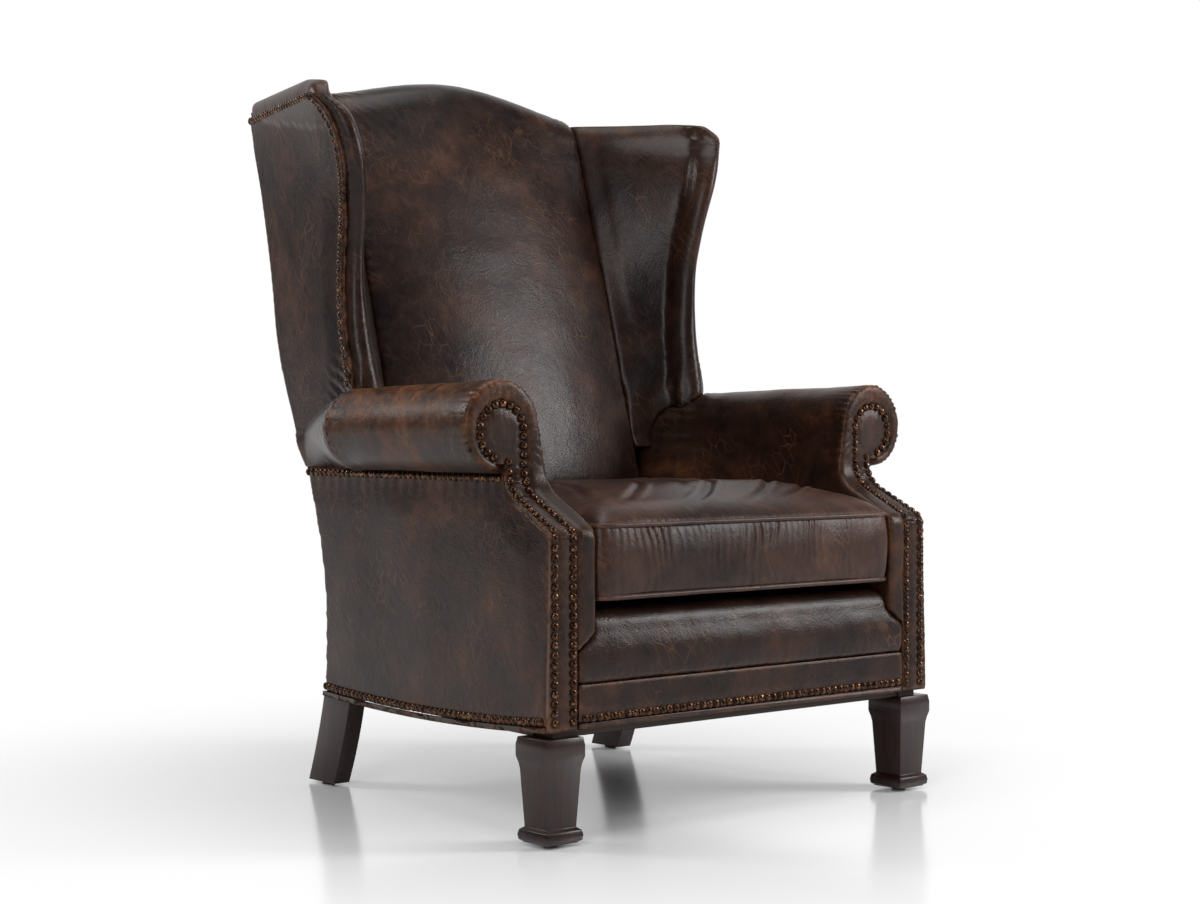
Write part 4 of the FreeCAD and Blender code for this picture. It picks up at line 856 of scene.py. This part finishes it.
def finish_wing(piece, side, replaced):
    spots = points_of(piece)
    normals = normals_of(piece)
    x, y, z = np.abs(spots[:, 0]), spots[:, 1], spots[:, 2]
    inner = soft_step(-normals[:, 0] * side, -0.3, 0.3) + soft_step(-normals[:, 1], 0.2, 0.7)
    inner = np.clip(inner, 0.0, 1.0)
    amount = inner * (0.0013 * cloud(spots, 0.11, 41) + 0.0006 * cloud(spots, 0.04, 42))
    corner_gap = np.sqrt((x - 0.412) ** 2 + (y - 0.085) ** 2 + (z - 1.075) ** 2)
    rays = np.sin(np.arctan2(z - 1.03, 0.43 - x) * 26.0 + 2.5 * cloud(spots, 0.05, 43))
    amount += 0.0010 * np.exp(-(corner_gap / 0.05) ** 2) * rays
    foot = fading(z - 0.64, 0.03)
    amount += 0.0009 * foot * inner * ripple(y + 0.3 * x, 0.021, 2.0 * cloud(spots, 0.06, 44))
    amount -= 0.0022 * np.exp(-(from_nails(spots) / 0.012) ** 2)
    push(piece, amount)
    spots = points_of(piece)
    # The front corner of the top roll is rounded down
    tip = (1.0 - soft_step(spots[:, 1], 0.07, 0.16)) * soft_step(spots[:, 2], 1.03, 1.085)
    spots[:, 2] -= 0.010 * tip * soft_step(np.abs(spots[:, 0]), 0.33, 0.38)
    move_points(piece, spots)
    crest = np.exp(-((z - 1.09) / 0.02) ** 2) * 0.4
    dress(piece, "frame", hide, replaced, crest)


def make_arm():
    piece = padded_skin("inside_arm_left", ["inside_arm_cover_left", "arm_padding_left"],
                        ARM_VOXEL)
    spots = points_of(piece)
    normals = normals_of(piece)
    held = (from_nails(spots) < 0.022) | (spots[:, 2] < 0.45) | (spots[:, 1] > 0.045)
    held |= normals[:, 2] < -0.4
    held |= spots[:, 1] < -0.285
    fill_out(piece, ARM_FILL, held)
    return piece


def finish_arm(piece, replaced):
    spots = points_of(piece)
    x, y, z = np.abs(spots[:, 0]), spots[:, 1], spots[:, 2]
    angle = np.arctan2(z - 0.568, x - 0.376)
    rim = fading(y + 0.302, 0.02) * soft_step(z, 0.5, 0.53)
    wander = cloud(spots, 0.05, 51)
    pleat = np.sin(angle * 42.0 + 2.5 * wander) + 0.4 * np.sin(angle * 71.0 - 3.0 * wander)
    amount = 0.0010 * rim * pleat
    amount += 0.0015 * cloud(spots, 0.09, 52) + 0.0006 * cloud(spots, 0.03, 53)
    tail = fading(0.055 - y, 0.02)
    amount += 0.0007 * tail * np.sin(angle * 30.0 + 2.0 * wander)
    amount += 0.0015 * fading(0.055 - y, 0.012)
    push(piece, amount)
    roll = soft_step(z, 0.53, 0.60) * soft_step(x, 0.32, 0.38)
    roll *= 0.3 + 0.35 * soft_step(y, -0.30, -0.2)
    # Painted shade: the valleys of the pleats round the scroll rim are darkened
    dark = rim * np.clip(-pleat, 0.0, 1.0) * 0.3
    dress(piece, "frame", roll_hide, replaced, roll, dark)


def make_facing(suffix):
    node = "arm_facing_" + suffix
    piece = panel_skin(node + "_leather", [node], (0, 1, 2), 0.006)
    spots = points_of(piece)
    normals = normals_of(piece)
    outward = soft_step(-normals[:, 1] * 0.9 + normals[:, 2] * 0.3, 0.1, 0.7)
    away = soft_step(from_nails(spots), 0.005, 0.014)
    amount = outward * (0.0022 * away - 0.0006 + 0.0006 * cloud(spots, 0.02, 61))
    push(piece, amount)
    dress(piece, "frame", hide, [node], np.full(len(spots), 0.1))


# Middle of the arm roll in front view, and the top of the wing panel's drape over it
ROLL_X = 0.367
ROLL_Z = 0.563
DRAPE_TOP = 0.645


def make_outside_wing(side, suffix):
    node = "outside_wing_panel_" + suffix
    piece = thick_panel("outside_wing_" + suffix, node, side)
    spots = points_of(piece)
    flat = spots.copy()
    flat[:, 0] = 0.3 * side
    y, z = spots[:, 1], spots[:, 2]
    away = soft_step(from_nails(spots), 0.003, 0.065)
    amount = away * (0.0026 + 0.0016 * cloud(flat, 0.14, 71)) + 0.0002 * cloud(flat, 0.04, 72)
    corner = np.hypot(y - 0.075, z - 1.068)
    rays = np.sin(np.arctan2(1.075 - z, y - 0.06) * 20.0 + 2.0 * cloud(flat, 0.05, 73))
    amount += 0.0013 * np.exp(-(corner / 0.06) ** 2) * rays * away
    tuck = np.exp(-(np.hypot(y - 0.07, z - 0.62) / 0.05) ** 2)
    amount += 0.0016 * tuck * ripple(z - 0.6 * y, 0.02, 2.0 * cloud(flat, 0.05, 74))
    spots[:, 0] += amount * side
    # Its drape over the arm roll laps forward over the end of the arm's cover
    lap = (1.0 - soft_step(spots[:, 1], 0.0545, 0.062)) * (z < DRAPE_TOP)
    spots[:, 1] -= 0.006 * lap
    out = np.stack([spots[:, 0] - ROLL_X * side, np.zeros(len(spots)), z - ROLL_Z], axis=1)
    out /= np.maximum(np.linalg.norm(out, axis=1), 1e-6)[:, None]
    over = 1.0 - soft_step(spots[:, 1], 0.056, 0.09)
    spots += out * (0.0002 * over * (z < DRAPE_TOP))[:, None]
    move_points(piece, spots)
    front = fading(from_nails(spots) - 0.006, 0.006) * (y < 0.12) * 0.6
    dress(piece, "frame", hide, [node], front)


def make_outside_arm(side, suffix):
    node = "outside_arm_panel_" + suffix
    piece = thick_panel("outside_arm_" + suffix, node, side)
    spots = points_of(piece)
    flat = spots.copy()
    flat[:, 0] = 0.3 * side
    away = soft_step(from_nails(spots), 0.003, 0.065)
    amount = away * (0.0022 + 0.0016 * cloud(flat, 0.15, 81)) + 0.0002 * cloud(flat, 0.04, 82)
    nail_pull = fading(from_nails(spots), 0.02)
    top = soft_step(spots[:, 2], 0.42, 0.49)
    amount += 0.0006 * nail_pull * top * ripple(spots[:, 1], 0.026)
    spots[:, 0] += amount * side
    move_points(piece, spots)
    dress(piece, "frame", hide, [node])


def make_outside_back():
    piece = panel_skin("outside_back", ["outside_back_panel"], (0, 2), 0.012)
    spots = points_of(piece)
    flat = spots.copy()
    flat[:, 1] = 0.0
    edge = np.minimum(0.34 - np.abs(spots[:, 0]), 1.1 - spots[:, 2])
    amount = soft_step(edge, 0.0, 0.08) * (0.0015 * cloud(flat, 0.16, 91) + 0.0010)
    spots[:, 1] += amount
    move_points(piece, spots)
    dress(piece, "frame", hide, ["outside_back_panel"])


def make_front():
    border = padded_skin("front_border_leather", ["front_border"], BORDER_VOXEL, 3)
    spots = points_of(border)
    face = soft_step(-normals_of(border)[:, 1], 0.1, 0.6)
    x = spots[:, 0]
    amount = face * (0.0012 * cloud(spots, 0.10, 101) + 0.0005 * cloud(spots, 0.03, 102))
    foot = fading(spots[:, 2] - 0.218, 0.012)
    amount += 0.0004 * foot * ripple(x + 0.01 * cloud(spots, 0.05, 103), 0.016)
    push(border, amount)
    dress(border, "frame", hide, ["front_border"])
    band = padded_skin("front_band_leather", ["front_rail_band"], BAND_VOXEL, 3)
    spots = points_of(band)
    face = soft_step(-normals_of(band)[:, 1], 0.1, 0.6)
    away = soft_step(from_nails(spots), 0.005, 0.016)
    push(band, face * (0.0010 * away + 0.0006 * cloud(spots, 0.07, 111)))
    dress(band, "frame", hide, ["front_rail_band"])
    strip = panel_skin("base_trim_leather", ["base_trim"], (0, 1), 0.012)
    worn = np.full(len(strip.data.vertices), 0.3)
    dress(strip, "frame", hide, ["base_trim"], worn)


# Wing timbers, drawn in a little so that the eased padding closes over them

TIMBER_DRAWN_IN = 0.007


def make_wing_timbers(suffix):
    nodes = ["wing_stile_" + suffix, "wing_rail_" + suffix]
    piece = copied("wing_timbers_" + suffix, nodes)
    move_points(piece, points_of(piece) - normals_of(piece) * TIMBER_DRAWN_IN)
    settle(piece, "frame", timber, nodes)


# Seat deck, dust cover and webbing

def make_hidden_cloth():
    deck = panel_skin("seat_deck_cloth", ["seat_deck", "deck_padding"], (0, 1), 0.02)
    settle(deck, "frame", deck_cloth, ["seat_deck", "deck_padding"])
    cover = panel_skin("dust_cover_cloth", ["dust_cover"], (0, 1), 0.03)
    settle(cover, "frame", dust_cloth, ["dust_cover"])
    straps = copied("back_webbing_straps", ["back_webbing"])
    settle(straps, "frame", webbing_jute, ["back_webbing"])


# Legs

# Height and half width of the front leg at each of its levels
FRONT_LEG_LEVELS = [(0.0045, 0.0270), (0.0080, 0.0310), (0.0147, 0.0320), (0.0215, 0.0305),
                    (0.0250, 0.0255), (0.0256, 0.0250), (0.1040, 0.0295), (0.1120, 0.0309),
                    (0.1220, 0.0337), (0.1370, 0.0337), (0.1477, 0.0318)]


def lift_top(rise, width_from, width_to):
    """Extrudes the selected top face up by a rise and sizes it."""
    bpy.ops.mesh.extrude_region_move(TRANSFORM_OT_translate={"value": (0, 0.0, rise)})
    bpy.ops.transform.resize(value=(width_to / width_from, width_to / width_from, 1.0))


def select_top():
    """In edit mode: leaves only the highest flat face selected."""
    form = bmesh.from_edit_mesh(bpy.context.object.data)
    top = max(face.calc_center_median().z for face in form.faces)
    for face in form.faces:
        face.select_set(abs(face.calc_center_median().z - top) < 1e-6)
    form.select_flush(True)
    bmesh.update_edit_mesh(bpy.context.object.data)


def make_front_leg(side, suffix):
    """Square tapered leg with a rounded foot block and a flared cuff."""
    clear_selection()
    first_z, first_half = FRONT_LEG_LEVELS[0]
    bpy.ops.mesh.primitive_cube_add(size=1.0, location=(0, 0, 0))
    leg = bpy.context.object
    leg.name = "front_leg_wood_" + suffix
    leg.scale = (first_half * 2.0, first_half * 2.0, 0.001)
    leg.location = (0.354 * side, 0.032 - SETBACK, first_z + 0.0005)
    bpy.ops.object.transform_apply(location=True, rotation=False, scale=True)
    bpy.ops.object.mode_set(mode="EDIT")
    bpy.ops.mesh.select_mode(type="FACE")
    here, half = first_z + 0.001, first_half
    for level, wide in FRONT_LEG_LEVELS[1:]:
        select_top()
        lift_top(level - here, half, wide)
        here, half = level, wide
    bpy.ops.object.mode_set(mode="OBJECT")
    finish_leg(leg, "front_leg_" + suffix)


def finish_leg(leg, node):
    finish_modifier(leg, "BEVEL", width=0.0016, segments=3, limit_method="ANGLE",
                    angle_limit=math.radians(28.0))
    smooth(leg, 35.0)
    settle(leg, "frame", leg_wood, [node])


def make_rear_leg(suffix):
    leg = copied("rear_leg_wood_" + suffix, ["rear_leg_" + suffix])
    bpy.ops.object.mode_set(mode="EDIT")
    bpy.ops.mesh.select_all(action="SELECT")
    bpy.ops.mesh.dissolve_limited(angle_limit=math.radians(1.0))
    bpy.ops.object.mode_set(mode="OBJECT")
    finish_leg(leg, "rear_leg_" + suffix)


# Floor and light

def make_floor():
    clear_selection()
    bpy.ops.mesh.primitive_circle_add(vertices=96, radius=14.0, fill_type="NGON",
                                      location=(0, 0, 0))
    floor = bpy.context.object
    floor.name = "studio_floor"
    material, tree, shader = new_material("glossy_white_floor")
    shader.inputs["Base Color"].default_value = colour("#f4f4f4")
    shader.inputs["Roughness"].default_value = 0.16
    shader.inputs["Specular IOR Level"].default_value = 0.35
    place = put(tree, "ShaderNodeTexCoord").outputs["Object"]
    away = put(tree, "ShaderNodeVectorMath", {"operation": "LENGTH"}, None,
               {0: place}).outputs["Value"]
    # Away from the chair the floor turns into the white backdrop; round it, it keeps the shadow
    far = put(tree, "ShaderNodeMapRange", {"interpolation_type": "SMOOTHSTEP"},
              {"From Min": 0.5, "From Max": 1.35}, {"Value": away}).outputs[0]
    paths = put(tree, "ShaderNodeLightPath")
    seen = maths(tree, "MAXIMUM", paths.outputs["Is Camera Ray"], paths.outputs["Is Glossy Ray"])
    share = maths(tree, "MULTIPLY", far, seen)
    white = put(tree, "ShaderNodeEmission", None, {"Color": (1, 1, 1, 1), "Strength": 1.0})
    blend = put(tree, "ShaderNodeMixShader", None, None,
                {0: share, 1: shader.outputs[0], 2: white.outputs[0]})
    tree.links.new(blend.outputs[0], tree.nodes["Material Output"].inputs["Surface"])
    floor.data.materials.append(material)


def add_softbox(name, place, aim, size, power):
    direction = Vector(aim) - Vector(place)
    bpy.ops.object.light_add(type="AREA", location=place,
                             rotation=direction.to_track_quat("-Z", "Y").to_euler())
    lamp = bpy.context.object
    lamp.name = name
    lamp.data.shape = "RECTANGLE"
    lamp.data.size, lamp.data.size_y = size
    lamp.data.energy = power


def make_light():
    add_softbox("overhead", (0.0, -0.4, 3.2), (0.0, 0.0, 0.4), (2.4, 2.4), 50.0)
    add_softbox("right_front", (2.3, -2.2, 1.75), (0.0, 0.0, 0.6), (0.9, 1.5), 62.0)
    add_softbox("left_front", (-3.0, -1.7, 1.7), (0.0, 0.0, 0.6), (0.9, 1.4), 30.0)
    add_softbox("left_rear", (-2.4, 2.6, 2.5), (0.0, 0.0, 0.9), (0.9, 1.1), 40.0)
    world = bpy.data.worlds.new("studio")
    scene.world = world
    world.use_nodes = True
    tree = world.node_tree
    paths = put(tree, "ShaderNodeLightPath")
    seen = maths(tree, "MAXIMUM", paths.outputs["Is Camera Ray"],
                 paths.outputs["Is Transmission Ray"])
    # The white backdrop stands behind the chair, so only reflections that way find it
    heading = put(tree, "ShaderNodeTexCoord").outputs["Generated"]
    behind = put(tree, "ShaderNodeVectorMath", {"operation": "DOT_PRODUCT"},
                 {1: (0.65, 0.76, 0.0)}, {0: heading}).outputs["Value"]
    backdrop = put(tree, "ShaderNodeMapRange", {"interpolation_type": "SMOOTHSTEP"},
                   {"From Min": 0.3, "From Max": 0.95}, {"Value": behind}).outputs[0]
    mirrored = maths(tree, "MULTIPLY", paths.outputs["Is Glossy Ray"], backdrop)
    white = maths(tree, "MAXIMUM", seen, mirrored)
    dull = maths(tree, "SUBTRACT", 1.0, paths.outputs["Is Glossy Ray"])
    ambient = maths(tree, "ADD", maths(tree, "MULTIPLY", dull, 0.26), 0.04)
    strength = maths(tree, "MAXIMUM", white, ambient)
    sky = tree.nodes["Background"]
    sky.inputs["Color"].default_value = (1.0, 1.0, 1.0, 1.0)
    tree.links.new(strength, sky.inputs["Strength"])


# The whole chair

place_camera()
make_cushion()
make_welts()
make_back()
left_wing = make_wing()
right_wing = mirrored_copy(left_wing, "inside_wing_right")
finish_wing(left_wing, 1.0, ["inside_wing_cover_left", "wing_padding_left"])
finish_wing(right_wing, -1.0, ["inside_wing_cover_right", "wing_padding_right"])
left_arm = make_arm()
right_arm = mirrored_copy(left_arm, "inside_arm_right")
finish_arm(left_arm, ["inside_arm_cover_left", "arm_padding_left"])
finish_arm(right_arm, ["inside_arm_cover_right", "arm_padding_right"])
for side, suffix in ((1.0, "left"), (-1.0, "right")):
    make_facing(suffix)
    make_outside_wing(side, suffix)
    make_outside_arm(side, suffix)
    make_front_leg(side, suffix)
    make_rear_leg(suffix)
make_outside_back()
make_front()
make_hidden_cloth()
make_wing_timbers("left")
make_wing_timbers("right")
nail_pattern = model_nail()
for node in NAIL_NODES:
    nail_row_piece(nail_pattern, node + "_heads", node)
bpy.data.objects.remove(nail_pattern)

CARRIED_OVER = {
    "floor_glides": glide_nylon, "leg_bolts": steel, "seat_springs": steel, "spring_clips": steel,
}
for node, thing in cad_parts.items():
    if not thing.hide_render:
        finish = CARRIED_OVER.get(node, timber)
        thing.data.materials.clear()
        thing.data.materials.append(finish)

make_floor()
make_light()
